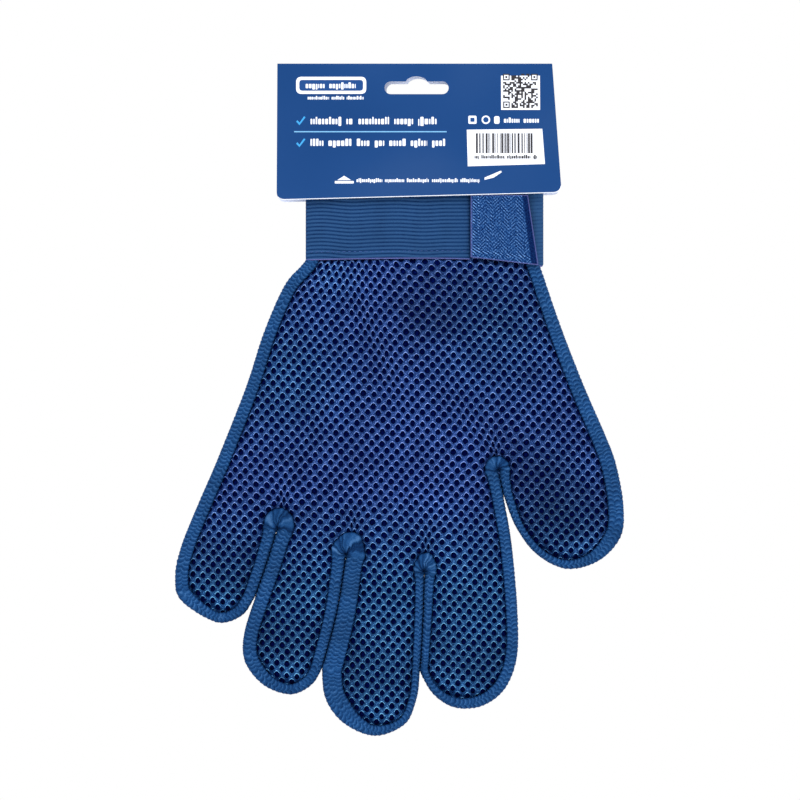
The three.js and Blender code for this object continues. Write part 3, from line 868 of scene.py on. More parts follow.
def cell_rings():
    """One cell of the mesh: rings of points round a hole, from the crest of the strands in to the
    floor. Each ring has offsets (x, z) from the hole's centre, heights and tones."""
    corners = np.array([ACROSS / 2, UP, -ACROSS / 2, -UP])
    per_side = CELL_SIDES // 4
    t = (np.arange(per_side) / per_side)[:, None]
    crest = np.vstack([a + (b - a) * t for a, b in zip(corners, np.roll(corners, -1, axis=0))])
    angle = np.arctan2(crest[:, 1] / UP[1], crest[:, 0] / ACROSS[0] * 2)
    rim = HOLE * np.stack([np.cos(angle), np.sin(angle)], 1)
    crossing = np.isclose(np.arange(CELL_SIDES) % per_side, 0)
    # The upper half of each hole's rim is raised a little and painted lighter, a painted highlight from the light
    # above.
    lit_upper_rim = np.clip(np.sin(angle) * 1.6 + 0.15, 0, 1)
    # The rings' tones are painted light and shade: lighter crests and crossings, the painted highlight on the
    # upper rim, and painted shade down the walls into the hole.
    return [
        (crest, 0.22 + 0.22 * crossing, 0.6 + 0.08 * crossing),
        (crest * 0.5 + rim * 0.5, 0.05, 0.42 + 0.04 * lit_upper_rim),
        (crest * 0.14 + rim * 0.96, 0.16 + 0.18 * lit_upper_rim, 0.5 + 0.55 * lit_upper_rim),
        (rim * 0.98, 0.02 + 0.1 * lit_upper_rim, 0.28 + 0.5 * lit_upper_rim),
        (rim * 0.92, -0.5, 0.04),
        (rim * 0.8, -1.15, 0.0),
    ]


def panel(name, segment, flat, height_of, material, faces_back=True):
    """A plain sheet under one segment's cells: one face a cell. height_of gives each point's y."""
    corners = np.stack([ACROSS / 2, UP, -ACROSS / 2, -UP])
    quads = (flat[:, None, :] + corners[None]).reshape(-1, 2)
    _, first, index = np.unique(np.round(quads, 3), axis=0, return_index=True, return_inverse=True)
    place, drawn_to = tucked_in(gathered(quads[first]), EDGE_TREES[segment.finger])
    points = np.stack([place[:, 0], height_of(place, inside_tape(place)), place[:, 1]], 1)
    faces = in_one_finger(index.reshape(-1, 4), drawn_to)
    return make_piece(name, points, faces if faces_back else faces[:, ::-1], material)


def lining_y(place, inside):
    """The lining follows the mesh at an even depth."""
    return mesh_y(place, inside) + LINING_DEPTH


def cloth_y(place, inside):
    """The palm's cloth is flat, and sinks a little where the tape covers it."""
    return CLOTH_Y - 0.3 * np.clip(-inside, 0, 2)


def net_panel(segment, flat, layers, heights, tones, material):
    """One segment of the mesh, from its cells' rings of points."""
    place = layers.reshape(-1, 2)
    _, first, index = np.unique(np.round(place, 3), axis=0, return_index=True, return_inverse=True)
    place, drawn_to = tucked_in(gathered(place[first]), EDGE_TREES[segment.finger])
    height = heights.ravel()[first] * (1 + 0.25 * rng.uniform(-1, 1, len(first)))
    inside = inside_tape(place)
    points = np.stack([place[:, 0], mesh_y(place, inside) - height, place[:, 1]], 1)
    pattern = np.array(grid_faces(heights.shape[1], CELL_SIDES, closed=True))
    cells = np.arange(len(flat))[:, None, None] * heights.shape[1] * CELL_SIDES
    faces = in_one_finger(index.ravel()[cells + pattern[None]].reshape(-1, 4), drawn_to)
    # Painted shade: the mesh darkens close to the tape's inner edge, in the crevice under it.
    tone = np.clip(tones.ravel()[first] - 0.22 * np.exp(-np.clip(inside, 0, None) / 1.2), 0, 1)
    # The "shade" value is painted light and shade on the mesh.
    return make_piece(f"spacer_mesh_{segment.name}", points, faces, material,
                      {"tone": tone, "shade": painted_shading_of(place), "teal": teal_of(place)})


def make_mesh_and_cloth(net, lining, cloth):
    """The mesh of the back on its lining, and the plain cloth of the palm, for every segment."""
    flat = lattice()
    centres = gathered(flat)
    x, z = centres.T
    under_cuff = (z > CUFF_BOTTOM - 1) & (z < -41) & (np.abs(x + 1.5) < 46)
    keep = in_polygon(centres, EDGE[::3]) | under_cuff
    flat, centres = flat[keep], centres[keep]
    owner = segment_of(centres)
    rings = cell_rings()
    size = rng.uniform(0.93, 1.07, (len(flat), 1, 1))
    shape = (len(flat), CELL_SIDES)
    layers = np.stack([flat[:, None, :] + offsets[None] * (size if i > 1 else 1)
                       for i, (offsets, _, _) in enumerate(rings)], 1)
    heights = np.stack([np.broadcast_to(height, shape) for _, height, _ in rings], 1)
    tones = np.stack([np.broadcast_to(tone, shape) for _, _, tone in rings], 1)
    for i, segment in enumerate(SEGMENTS):
        mine = owner == i
        mesh = net_panel(segment, flat[mine], layers[mine], heights[mine], tones[mine], net)
        back = panel(f"mesh_lining_{segment.name}", segment, flat[mine], lining_y, lining)
        front = panel(f"palm_cloth_{segment.name}", segment, flat[mine], cloth_y, cloth, False)
        members = nodes_of(segment.bodies[-1])
        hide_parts(*[n for n in members if n.endswith("_mesh")])
        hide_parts(*[n for n in members if n.endswith("_fabric")])
        for piece in (mesh, back, front):
            segment.attach(piece)


# ---------------------------------------------------------------- cuff and closure

RIDGE = 1.65  # pitch of the elastic's cross ribs
BAND_FRONT = -6.4
BAND_TOP = 0.0
BAND_BOTTOM = -45.0
BAND_THICKNESS = 1.4
BAND_STEP = 0.33  # between the points of a band, up its height
REAR_BAND = dict(left=-51.4, right=53.0, outer=4.6, underlap=18.0)
TAB = [[20.9, -17.2], [45.9, -17.2], [50.5, -47.9], [20.9, -44.4]]  # from the top left, clockwise
PATCH_LAYER = (-9.3, -8.3)
TAB_ELASTIC_LAYER = (-8.0, -6.7)
HOOK_LAYER = (-5.8, -6.4)
TAPE_BORDER = 2.0  # of bare elastic round the hook and loop tapes
TAB_ROOT = [[20.45, -17.8], [22.6, -17.8], [22.6, -44.2], [20.45, -44.2]]
TAB_ROOT_LAYER = (-5.3, -6.3)
LOOP_LAYER = (-5.5, -4.9)
STITCH_PITCH = 2.4


def band(name, line, facing, low, wave, material, relief=0.17, pale=0.0):
    """An upright elastic band along a line of (x, y): ribs run along it, and low and wave give its
    lower edge and how far its ribs stray, at each point of the line. A pale band is lighter."""
    levels = np.linspace(0, 1, int((BAND_TOP - low.min()) / BAND_STEP))
    back = np.linspace(1, 0, 8)
    rings, tones, edges = [], [], []
    for place, way, bottom, stray in zip(line, facing, low, wave):
        z = bottom + (BAND_TOP - bottom) * levels
        ridge = np.abs(np.sin(math.pi * (z + stray) / RIDGE)) ** 0.7
        lift = relief * (ridge - 0.5)
        lift[:2] -= (0.5, 0.15)
        front = place[None] + way[None] * lift[:, None]
        behind = np.repeat((place - way * BAND_THICKNESS)[None], len(back), axis=0)
        z_back = bottom + (BAND_TOP - bottom) * back
        rings.append(np.vstack([np.column_stack([front, z]), np.column_stack([behind, z_back])]))
        # The ribs' tone is painted light and shade: lighter on the rib tops, darker in the grooves.
        tones.append(np.concatenate([ridge + pale * (1 - 0.4 * ridge), np.full(len(back), 0.5)]))
        edges.append(np.concatenate([np.clip(1.3 - (z - bottom) / 0.45, 0, 1), np.zeros(len(back))]))
    return tube_piece(name, rings, material, {"tone": tones, "edge": edges})


def tube_piece(name, rings, material, values):
    """A closed solid from a row of rings with as many points each, capped at both ends."""
    points = np.vstack(rings)
    faces = tube_faces(len(rings), len(rings[0]))
    values = {label: np.concatenate(numbers) for label, numbers in values.items()}
    return make_piece(name, points, outward(points, faces), material, values)


def stitches(name, spots, way, length, radius, y, material):
    """A row of short round stitches lying at the spots (x, z), each along way."""
    side = np.array([-way[1], way[0]])
    profile = [(-0.5, 0.15), (-0.42, 0.7), (-0.2, 1), (0.2, 1), (0.42, 0.7), (0.5, 0.15)]
    turns = np.linspace(0, 2 * math.pi, 8, endpoint=False)
    points, faces = [], []
    for spot in spots:
        first = len(points)
        for along, wide in profile:
            middle = spot + way * along * length
            for turn in turns:
                edge = middle + side * math.cos(turn) * radius * wide
                points.append([edge[0], y + math.sin(turn) * radius * wide, edge[1]])
        faces += grid_faces(len(profile), 8, closed=True, first=first)
        faces += [list(range(first, first + 8)), list(range(len(points) - 8, len(points)))[::-1]]
    points = np.array(points)
    return make_piece(name, points, outward(points, faces), material)


def slab(name, corners, layer, relief, material, step=0.3, pale_edge=1.0):
    """A flat four-sided piece whose front, at the layer's first y, carries a relief: relief(x, z, u, v)
    gives its height and a tone at each point, u and v from 0 to 1 across and down."""
    facing = math.copysign(1, layer[0] - layer[1])
    a, b, c, d = (np.array(corner, float) for corner in corners)
    across = max(int(np.linalg.norm(b - a) / step), 4)
    down = max(int(np.linalg.norm(d - a) / step), 4)
    v = np.linspace(0, 1, down)
    rings, tones, edges = [], [], []
    for u in np.linspace(0, 1, across):
        line = (a + (b - a) * u)[None] * (1 - v[:, None]) + (d + (c - d) * u)[None] * v[:, None]
        height, tone = relief(line[:, 0], line[:, 1], u, v)
        rim = min(u, 1 - u) * across * step
        depth = np.minimum(np.minimum(v, 1 - v) * down * step, rim)
        height = np.where(depth < 0.5, height * 0.3, height) - 0.3 * np.exp(-depth / 0.25)
        front = np.column_stack([line[:, 0], layer[0] + facing * height, line[:, 1]])
        back = front[::-1].copy()
        back[:, 1] = layer[1]
        rings.append(np.vstack([front, back]))
        tones.append(np.concatenate([tone, np.full(down, 0.4)]))
        edges.append(np.concatenate([pale_edge * np.clip(1.2 - depth / 0.4, 0, 1), np.zeros(down)]))
    return tube_piece(name, rings, material, {"tone": tones, "edge": edges})


def herringbone(x, z, u, v):
    """Short slanted loops in columns that lean left and right in turn."""
    column = np.floor(x / 3.4)
    lean = np.where(column % 2 == 0, 1.0, -1.0)
    wave = np.sin(2 * math.pi * (z * 0.8 + lean * x * 0.8) / 1.25)
    speck = np.sin(x * 5.1 + 2 * value_noise(z * 1.3, 31)) * np.sin(z * 4.3 + 2 * value_noise(x * 1.1, 32))
    border = sum(np.exp(-((x - TAB[0][0] - row) / 0.5) ** 2) for row in (1.3, 3.4))
    hem = np.exp(-((v - 0.9) / 0.025) ** 2)
    shadow_strip_by_free_edge = np.clip((u - 0.885) / 0.03, 0, 1)
    tone = 0.5 + 0.2 * wave + 0.18 * speck + 0.45 * (border + hem) * np.sin(z * 5 + x * 3)
    # Painted shadow: the strip by the tab's free edge, where the fuzzy face ends short of it, is darkened.
    tone = tone * (1 - 0.75 * shadow_strip_by_free_edge)
    return 0.14 * wave + 0.12 * speck - 0.35 * shadow_strip_by_free_edge, tone


def ribbed(x, z, u, v):
    """The elastic's cross ribs, with painted light on their tops and painted shade in their grooves."""
    ridge = np.abs(np.sin(math.pi * z / RIDGE)) ** 0.7
    return 0.12 * (ridge - 0.5), ridge


def pile(x, z, u, v):
    """The loop tape's tangled lumps."""
    lump = value_noise(x * 1.9 + 3 * value_noise(z * 0.7, 41), 42) * value_noise(z * 2.1 + x, 43)
    return 0.12 * lump, 0.5 + 0.5 * lump


def hooks(x, z, u, v):
    """Rows of little hooks, as dots."""
    dots = np.clip(1.4 * np.sin(math.pi * x / 0.9) * np.sin(math.pi * z / 0.9), 0, 1)
    return 0.2 * dots, 0.8 * dots


def shrunk(corners, distance):
    """A four-sided outline, top left first and clockwise, drawn in on every side."""
    a, b, c, d = (np.array(corner, float) for corner in corners)
    return [a + [distance, -distance], b + [-distance, -distance], c + [-1.15 * distance, 1.1 * distance],
            d + [distance, distance]]


def ride(piece, body, *nodes):
    """Puts a piece on a body, and says which CAD nodes it replaces."""
    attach(piece, body)
    if nodes:
        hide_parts(*nodes)


def front_band(elastic):
    """The cuff's elastic across the back of the hand, a little bowed, up to the closure tab."""
    x = np.linspace(REAR_BAND["left"], TAB[0][0] - 0.4, 60)
    left = np.clip((0 - x) / 50, 0, 1)
    line = np.stack([x, BAND_FRONT - 0.5 * np.sin((x - x[0]) / np.ptp(x) * math.pi)], 1)
    line[:2, 1] += (1.1, 0.3)
    facing = np.repeat([[0.0, -1.0]], len(x), axis=0)
    low = BAND_BOTTOM - 0.7 * left**2 - 0.35 * np.clip(x / 20, 0, 1) ** 2
    wave = 0.8 * left**2 * np.sin(x / 5.5) + 0.35 * value_noise(x / 11, 51)
    front = band("cuff_band_back", line, facing, low, wave, elastic)
    ride(front, "palm", "cuff_elastic_back")


def rear_band(elastic):
    """The cuff's elastic round the palm side, turned in under the closure tab."""
    radius, right = REAR_BAND["outer"], REAR_BAND["right"]
    bend = right - radius
    turn = np.linspace(math.pi / 2, -math.pi / 2, 14)
    arc = np.stack([bend + radius * np.cos(turn), radius * np.sin(turn)], 1)
    corners = [[REAR_BAND["left"], -4.7], [REAR_BAND["left"], 3.2], [REAR_BAND["left"] + 0.4, 4.2],
               [REAR_BAND["left"] + 1.4, radius], *arc, [REAR_BAND["underlap"], -radius]]
    line = resample(np.array(corners), 0.9)
    facing = softened(normals(line), 1)
    x, y = line.T
    low = BAND_BOTTOM - 3.4 * np.clip((x - 44) / 8, 0, 1) * np.clip((2 - y) / 3, 0, 1)
    wave = 0.3 * value_noise(lengths(line) / 9, 52)
    rear = band("cuff_band_palm_side", line, facing, low, wave, elastic, relief=0.12, pale=0.4)
    ride(rear, "palm", "cuff_elastic_palm")


def seams(thread):
    """The stitches along the cuff's lower edge and down the tab's sewn edge."""
    spots = [np.array([sx, -41.6 - 0.5 * max(0, -sx) / 50]) for sx in np.arange(-49, 19, STITCH_PITCH)]
    ride(stitches("cuff_seam_stitches", spots, np.array([1.0, 0.0]), 1.5, 0.17, BAND_FRONT - 0.55, thread), "palm")
    spots = [np.array([TAB[0][0] + 0.7, sz]) for sz in np.arange(-43.4, -18, 1.5)]
    ride(stitches("tab_seam_stitches", spots, np.array([0.0, 1.0]), 1.1, 0.2, PATCH_LAYER[0] - 0.1, thread), "closure_tab")


def closure(elastic, patch, loop, hook):
    """The tab's layers, the elastic it bends on and the loop tape under it."""
    fuzzy = slab("tab_fuzzy_face", TAB, PATCH_LAYER, herringbone, patch, step=0.24)
    band_piece = slab("tab_band", TAB, TAB_ELASTIC_LAYER, ribbed, elastic)
    tape = shrunk(TAB, TAPE_BORDER)
    hook_piece = slab("tab_hooks", tape, HOOK_LAYER, hooks, hook, step=0.25)
    ride(fuzzy, "closure_tab", "tab_fuzzy_patch")
    ride(band_piece, "closure_tab", "tab_elastic")
    ride(hook_piece, "closure_tab", "tab_hook_tape")
    root = slab("tab_root_elastic", TAB_ROOT, TAB_ROOT_LAYER, ribbed, elastic, step=0.2,
                pale_edge=0)
    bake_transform(root)
    loops = slab("rear_band_loops", tape, LOOP_LAYER, pile, loop)
    ride(loops, "palm", "rear_band_loop_tape")


def make_cuff(elastic, patch, loop, hook, thread):
    """The elastic cuff, its seams and its closure."""
    front_band(elastic)
    rear_band(elastic)
    seams(thread)
    closure(elastic, patch, loop, hook)


# ---------------------------------------------------------------- rubber pads and bristles

CAD_PAD_Y = 4.5  # of the CAD pads' flat backs
# How far in from its outline a pad's edge lies at each y, from its back round to its face.
PAD_LEVELS = [(0.5, 4.4), (0, 4.55), (0, 5.4), (0.15, 5.75), (0.4, 5.93), (0.8, 6.0)]
# A bristle's radius at each y, from its foot in the pad to its round tip.
BRISTLE_PROFILE = [(2.1, 5.9), (1.65, 6.25), (1.5, 6.8), (1.32, 8.0), (1.15, 9.3), (1.0, 10.0),
                   (0.72, 10.35), (0.3, 10.5)]
BRISTLE_SIDES = 14


def outline_of(node, level):
    """The outline (x, z) of a CAD sheet's face at one y, anticlockwise seen from the back of the hand."""
    mesh = frame["nodes"][node].data
    key = {v.index: tuple(np.round(np.array(v.co) / MM, 2)) for v in mesh.vertices}
    edges = set()
    for face in mesh.polygons:
        corners = [key[i] for i in face.vertices]
        if all(abs(corner[1] - level) < 0.02 for corner in corners):
            for a, b in zip(corners, corners[1:] + corners[:1]):
                if (b, a) in edges:
                    edges.remove((b, a))
                else:
                    edges.add((a, b))
    follow = dict(edges)
    start = max(follow)
    loop, at = [start], follow[start]
    while at != start:
        loop.append(at)
        at = follow[at]
    return np.array(loop)[:, [0, 2]]


def bristle_spots(node):
    """Where a CAD pad's bristles stand, from the points of their flat tips."""
    points = np.array([v.co for v in frame["nodes"][node].data.vertices]) / MM
    tips = points[points[:, 1] > points[:, 1].max() - 0.05][:, [0, 2]]
    spots = []
    while len(tips):
        near = np.linalg.norm(tips - tips[0], axis=1) < 2.5
        spots.append((tips[near].min(0) + tips[near].max(0)) / 2)
        tips = tips[~near]
    return spots


def rounded_loop(outline, reach=3):
    """An outline in equal steps with its corners rounded."""
    loop = resample(np.vstack([outline, outline[:1]]), 0.9)[:-1]
    kernel = np.hanning(2 * reach + 3)[1:-1]
    kernel /= kernel.sum()
    long = np.vstack([loop[-reach:], loop, loop[:reach]])
    return np.stack([np.convolve(column, kernel, mode="valid") for column in long.T], 1)


def drawn_in(loop, distance):
    """A closed outline drawn in by a distance all round."""
    way = np.roll(loop, -1, axis=0) - np.roll(loop, 1, axis=0)
    way /= np.linalg.norm(way, axis=1)[:, None]
    return loop + distance * np.stack([-way[:, 1], way[:, 0]], 1)


def pad_shell(outline):
    """A pad without its bristles: its points and faces."""
    loop = rounded_loop(outline)
    rings = []
    for distance, y in PAD_LEVELS:
        x, z = drawn_in(loop, distance).T
        rings.append(np.column_stack([x, np.full(len(loop), y), z]))
    faces = grid_faces(len(rings), len(loop), closed=True)
    base, lid = (tessellate_polygon([[Vector((x, z, 0)) for x, _, z in ring]])
                 for ring in (rings[0], rings[-1]))
    faces += [[i + (len(rings) - 1) * len(loop) for i in face] for face in lid]
    faces += [list(face)[::-1] for face in base]
    return np.vstack(rings), faces


def bristle(x, z):
    """The points of one bristle."""
    turns = np.linspace(0, 2 * math.pi, BRISTLE_SIDES, endpoint=False)
    return [[x + radius * math.cos(turn), y, z + radius * math.sin(turn)]
            for radius, y in BRISTLE_PROFILE for turn in turns]


def make_pads(rubber):
    """Each body's rubber pad, moulded in one with its bristles."""
    for body in frame["record"]["behaviour"]["bodies"]:
        for node in (n for n in nodes_of(body) if n.endswith("_bristle_pad")):
            points, faces = pad_shell(outline_of(node, CAD_PAD_Y))
            for x, z in bristle_spots(node):
                faces += tube_faces(len(BRISTLE_PROFILE), BRISTLE_SIDES, len(points))
                points = np.vstack([points, bristle(x, z)])
            piece = make_piece(f"rubber_pad_{body}", points, outward(points, faces), rubber)
            face_outward(piece)
            ride(piece, body, node)


def face_outward(piece):
    """Turns every shell of a piece to face outwards."""
    work = bmesh.new()
    work.from_mesh(piece.data)
    bmesh.ops.recalc_face_normals(work, faces=work.faces)
    work.to_mesh(piece.data)
    work.free()


# ---------------------------------------------------------------- header card

CARD_THICKNESS = 0.5
FOLD_RADIUS = 1.2
FOLD_Z = 39.9
FRONT_BOTTOM = (-10.45, -20.5)  # (y, z) of the front leaf's face, a little below its edge
REAR_BOTTOM = (7.65, -20.5)
FRONT_LENGTH = math.hypot(FRONT_BOTTOM[0] + FOLD_RADIUS, FOLD_Z - FRONT_BOTTOM[1])
REAR_LENGTH = math.hypot(REAR_BOTTOM[0] - FOLD_RADIUS, FOLD_Z - REAR_BOTTOM[1])
FOLD_LENGTH = math.pi * FOLD_RADIUS
CARD_TOP_RIGHT = 56.8
CARD_CORNERS = [(-64.0, -19.5), (60.6, -16.2)]  # lower left and right of both leaves
CORNER_RADIUS = 3.7
SLOT_CENTRE, SLOT_HALF, SLOT_HEIGHT = (-2.8, 30.2), 14.1, 2.8  # half its length, and half its height
HUMP = (4.7, 5.1)  # half the width of the slot's hump, and its top above the slot's centre
REAR_SLOT_SHIFT = (0.9, -0.8)  # of the rear leaf's slot, as the card isn't folded quite true
FRONT_STRIPS, REAR_STRIPS, FOLD_STRIPS = 8, 8, 10  # that each stretch of the card is cut into


def along_front(z):
    """How far up the unfolded card a height on the front leaf is."""
    return (z - FRONT_BOTTOM[1]) / (FOLD_Z - FRONT_BOTTOM[1]) * FRONT_LENGTH


def along_rear(z):
    """How far up the unfolded card a height on the rear leaf is."""
    return FRONT_LENGTH + FOLD_LENGTH + (FOLD_Z - z) / (FOLD_Z - REAR_BOTTOM[1]) * REAR_LENGTH


def on_card(v, depth=0.0):
    """(y, z) of a distance up the unfolded card; depth is how far inside its face."""
    if v < FRONT_LENGTH:
        t = v / FRONT_LENGTH
        run = np.array([-FOLD_RADIUS - FRONT_BOTTOM[0], FOLD_Z - FRONT_BOTTOM[1]])
        inward = np.array([run[1], -run[0]]) / FRONT_LENGTH
        return np.array(FRONT_BOTTOM) + run * t + inward * depth
    if v > FRONT_LENGTH + FOLD_LENGTH:
        t = (v - FRONT_LENGTH - FOLD_LENGTH) / REAR_LENGTH
        run = np.array([REAR_BOTTOM[0] - FOLD_RADIUS, REAR_BOTTOM[1] - FOLD_Z])
        inward = np.array([run[1], -run[0]]) / REAR_LENGTH
        return np.array([FOLD_RADIUS, FOLD_Z]) + run * t + inward * depth
    turn = math.pi - (v - FRONT_LENGTH) / FOLD_RADIUS
    return np.array([0, FOLD_Z]) + (FOLD_RADIUS - depth) * np.array([math.cos(turn), math.sin(turn)])


def rounded_corner(corner, before, after, radius):
    """Points round a corner, between the directions of the points before and after it."""
    corner, before, after = (np.array(p, float) for p in (corner, before, after))
    start = corner + (before - corner) / np.linalg.norm(before - corner) * radius
    end = corner + (after - corner) / np.linalg.norm(after - corner) * radius
    t = np.linspace(0, 1, 8)[:, None]
    return (1 - t) ** 2 * start + 2 * t * (1 - t) * corner + t**2 * end


def slot_loop():
    """The hang slot's outline, (x, z) from its centre: a long slot with a hump above."""
    straight = SLOT_HALF - SLOT_HEIGHT
    right = np.linspace(-math.pi / 2, math.pi / 2, 13)
    hump = np.linspace(0, math.pi, 13)
    points = [(straight + SLOT_HEIGHT * math.cos(a), SLOT_HEIGHT * math.sin(a)) for a in right]
    points += [(HUMP[0] * math.cos(a), SLOT_HEIGHT + (HUMP[1] - SLOT_HEIGHT) * math.sin(a) ** 1.3)
               for a in hump]
    points += [(-straight - SLOT_HEIGHT * math.cos(a), -SLOT_HEIGHT * math.sin(a)) for a in right]
    return np.array(points)


def card_sheet():
    """The unfolded card as a flat triangulated sheet: (x, v) points and triangles."""
    (left, left_z), (right, right_z) = CARD_CORNERS
    top = FRONT_LENGTH + FOLD_LENGTH / 2
    front_left, front_right = (left, along_front(left_z)), (right, along_front(right_z))
    rear_left, rear_right = (left, along_rear(left_z)), (right, along_rear(right_z))
    outline = [
        *rounded_corner(front_left, (left, top), front_right, CORNER_RADIUS),
        *rounded_corner(front_right, front_left, (CARD_TOP_RIGHT, top), CORNER_RADIUS),
        (CARD_TOP_RIGHT, top),
        *rounded_corner(rear_right, (CARD_TOP_RIGHT, top), rear_left, CORNER_RADIUS),
        *rounded_corner(rear_left, rear_right, (left, top), CORNER_RADIUS),
    ]
    slot = slot_loop()
    x, z = SLOT_CENTRE
    front_slot = [(x + a, along_front(z + b)) for a, b in slot]
    dx, dz = REAR_SLOT_SHIFT
    rear_slot = [(x + dx + a, along_rear(z + dz + b)) for a, b in slot]
    loops = [outline, front_slot, rear_slot]
    triangles = tessellate_polygon([[Vector((a, b, 0)) for a, b in loop] for loop in loops])
    return [point for loop in loops for point in loop], triangles


def make_card(printed, cut_edge):
    """The folded card: its outer face printed, its inner face and cut edges bare."""
    points, triangles = card_sheet()
    work = bmesh.new()
    made = [work.verts.new((x, v, 0)) for x, v in points]
    for triangle in triangles:
        work.faces.new([made[i] for i in triangle])
    levels = [FRONT_LENGTH + FOLD_LENGTH * i / FOLD_STRIPS for i in range(FOLD_STRIPS + 1)]
    levels += [FRONT_LENGTH * i / FRONT_STRIPS for i in range(1, FRONT_STRIPS)]
    levels += [FRONT_LENGTH + FOLD_LENGTH + REAR_LENGTH * i / REAR_STRIPS for i in range(1, REAR_STRIPS)]
    for v in levels:
        everything = work.verts[:] + work.edges[:] + work.faces[:]
        bmesh.ops.bisect_plane(work, geom=everything, dist=1e-5, plane_co=(0, v, 0), plane_no=(0, 1, 0))
    work.verts.index_update()
    flat = np.array([v.co for v in work.verts])
    faces = [[v.index for v in face.verts] for face in work.faces]
    border_loops = [edge.link_loops[0] for edge in work.edges if len(edge.link_faces) == 1]
    borders = [(loop.vert.index, loop.link_loop_next.vert.index) for loop in border_loops]
    work.free()
    shells = [np.array([[x, *on_card(v, depth)] for x, v, _ in flat]) for depth in (0, CARD_THICKNESS)]
    count = len(flat)
    cards = faces + [[i + count for i in face][::-1] for face in faces]
    rims = [[b, a, a + count, b + count] for a, b in borders]
    piece = make_piece("header_card_folded", np.vstack(shells), cards + rims, [printed, cut_edge],
                       smooth=False)
    kinds = np.ones(len(piece.data.polygons), np.int32)
    kinds[:len(faces)] = 0
    piece.data.polygons.foreach_set("material_index", kinds)
    face_outward(piece)
    ride(piece, "header_card", "header_card")


# ---------------------------------------------------------------- print on the card

INK = 0.05  # thickness of a printed layer


def rectangle(x0, x1, z0, z1, radius=0.0):
    """A rectangle's outline, with rounded corners if it has a radius."""
    corners = [(x0, z0), (x1, z0), (x1, z1), (x0, z1)]
    if not radius:
        return np.array(corners)
    return np.vstack([rounded_corner(corners[i], corners[i - 1], corners[(i + 1) % 4], radius)
                      for i in range(4)])


def disc(x, z, radius):
    """A round outline."""
    turns = np.linspace(0, 2 * math.pi, 16, endpoint=False)
    return np.stack([x + radius * np.cos(turns), z + radius * np.sin(turns)], 1)


def print_shapes(name, outlines, material, layer=1):
    """Thin printed shapes on the card's front leaf; a higher layer lies on a lower one."""
    points, faces = [], []
    for outline in outlines:
        first, count = len(points), len(outline)
        for depth in (-INK * layer, 0.02):
            points += [[x, *on_card(along_front(z), depth)] for x, z in outline]
        lid = tessellate_polygon([[Vector((x, z, 0)) for x, z in outline]])
        faces += [[first + i for i in face] for face in lid]
        faces += [[first + count + i for i in face][::-1] for face in lid]
        faces += [[first + i, first + (i + 1) % count, first + count + (i + 1) % count, first + count + i]
                  for i in range(count)]
    piece = make_piece(name, points, faces, material, smooth=False)
    face_outward(piece)
    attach(piece, "header_card")


def blobs(x0, x1, z0, z1, words, seed):
    """A line of plain blobs in place of words: each word is its share of the width."""
    draw = np.random.default_rng(seed)
    height = z1 - z0
    space = 0.55 * height
    unit = (x1 - x0 - space * (len(words) - 1)) / sum(words)
    shapes, x = [], x0
    for word in words:
        end = x + unit * word
        while x < end - 0.2 * height:
            wide = min(height * draw.uniform(0.28, 0.62), end - x)
            top = z1 if draw.random() < 0.25 else z0 + 0.74 * height
            low = z0 - 0.22 * height if draw.random() < 0.12 else z0
            shapes.append(rectangle(x, x + wide - 0.13 * height, low, top, 0.12 * height))
            x += wide
        x = end + space
    return shapes


def edge_line():
    """A thin bare strip along the card's lower edge, where it was cut."""
    (left, left_z), (right, right_z) = CARD_CORNERS
    lower = [*rounded_corner((left, left_z), (left, 0), (right, right_z), CORNER_RADIUS)[3:],
             *rounded_corner((right, right_z), (left, left_z), (right, 0), CORNER_RADIUS)[:-1]]
    lower = np.array(lower) + [0, 0.03]
    round_right = np.clip((lower[:, :1] - right + CORNER_RADIUS) / CORNER_RADIUS, 0, 1)
    raised = lower + [0, 0.26] - round_right * [0.3, 0]
    return np.vstack([lower, raised[::-1]])


def tick(x0, x1, z0, z1):
    """A check mark as one outline."""
    width, height, thick = x1 - x0, z1 - z0, 0.2 * (z1 - z0)
    low_x, start_z = x0 + 0.36 * width, z0 + 0.42 * height
    return np.array([(x0, start_z), (low_x, z0), (x1, z1 - 0.3 * thick), (x1 - 0.9 * thick, z1 + 0.4 * thick),
                     (low_x, z0 + 1.5 * thick), (x0 + 0.8 * thick, start_z + 0.9 * thick)])


def square_code(x0, z0, side, cells, seed):
    """A square of random blocks with a frame in three corners; it says nothing."""
    draw = np.random.default_rng(seed)
    unit = side / cells
    dark, light, middle = [], [], []
    for row in range(cells):
        for column in range(cells):
            upper = row > cells - 6 and (column < 5 or column > cells - 6)
            framed = upper or (column < 5 and row < 5)
            if not framed and draw.random() < 0.55:
                dark.append(rectangle(x0 + column * unit, x0 + (column + 1.02) * unit,
                                      z0 + row * unit, z0 + (row + 1.02) * unit))
    for column, row in ((0, 0), (0, cells - 4), (cells - 4, cells - 4)):
        x, z = x0 + column * unit, z0 + row * unit
        dark.append(rectangle(x, x + 4 * unit, z, z + 4 * unit))
        light.append(rectangle(x + 0.7 * unit, x + 3.3 * unit, z + 0.7 * unit, z + 3.3 * unit))
        middle.append(rectangle(x + 1.4 * unit, x + 2.6 * unit, z + 1.4 * unit, z + 2.6 * unit))
    return dark, light, middle


def bars(x0, x1, z0, z1, seed):
    """Upright bars of random widths."""
    draw = np.random.default_rng(seed)
    shapes, x = [], x0
    while x < x1 - 1.2:
        wide = draw.choice([0.28, 0.28, 0.56, 0.84])
        shapes.append(rectangle(x, x + wide, z0, z1))
        x += wide + draw.choice([0.3, 0.3, 0.6, 0.85])
    return shapes


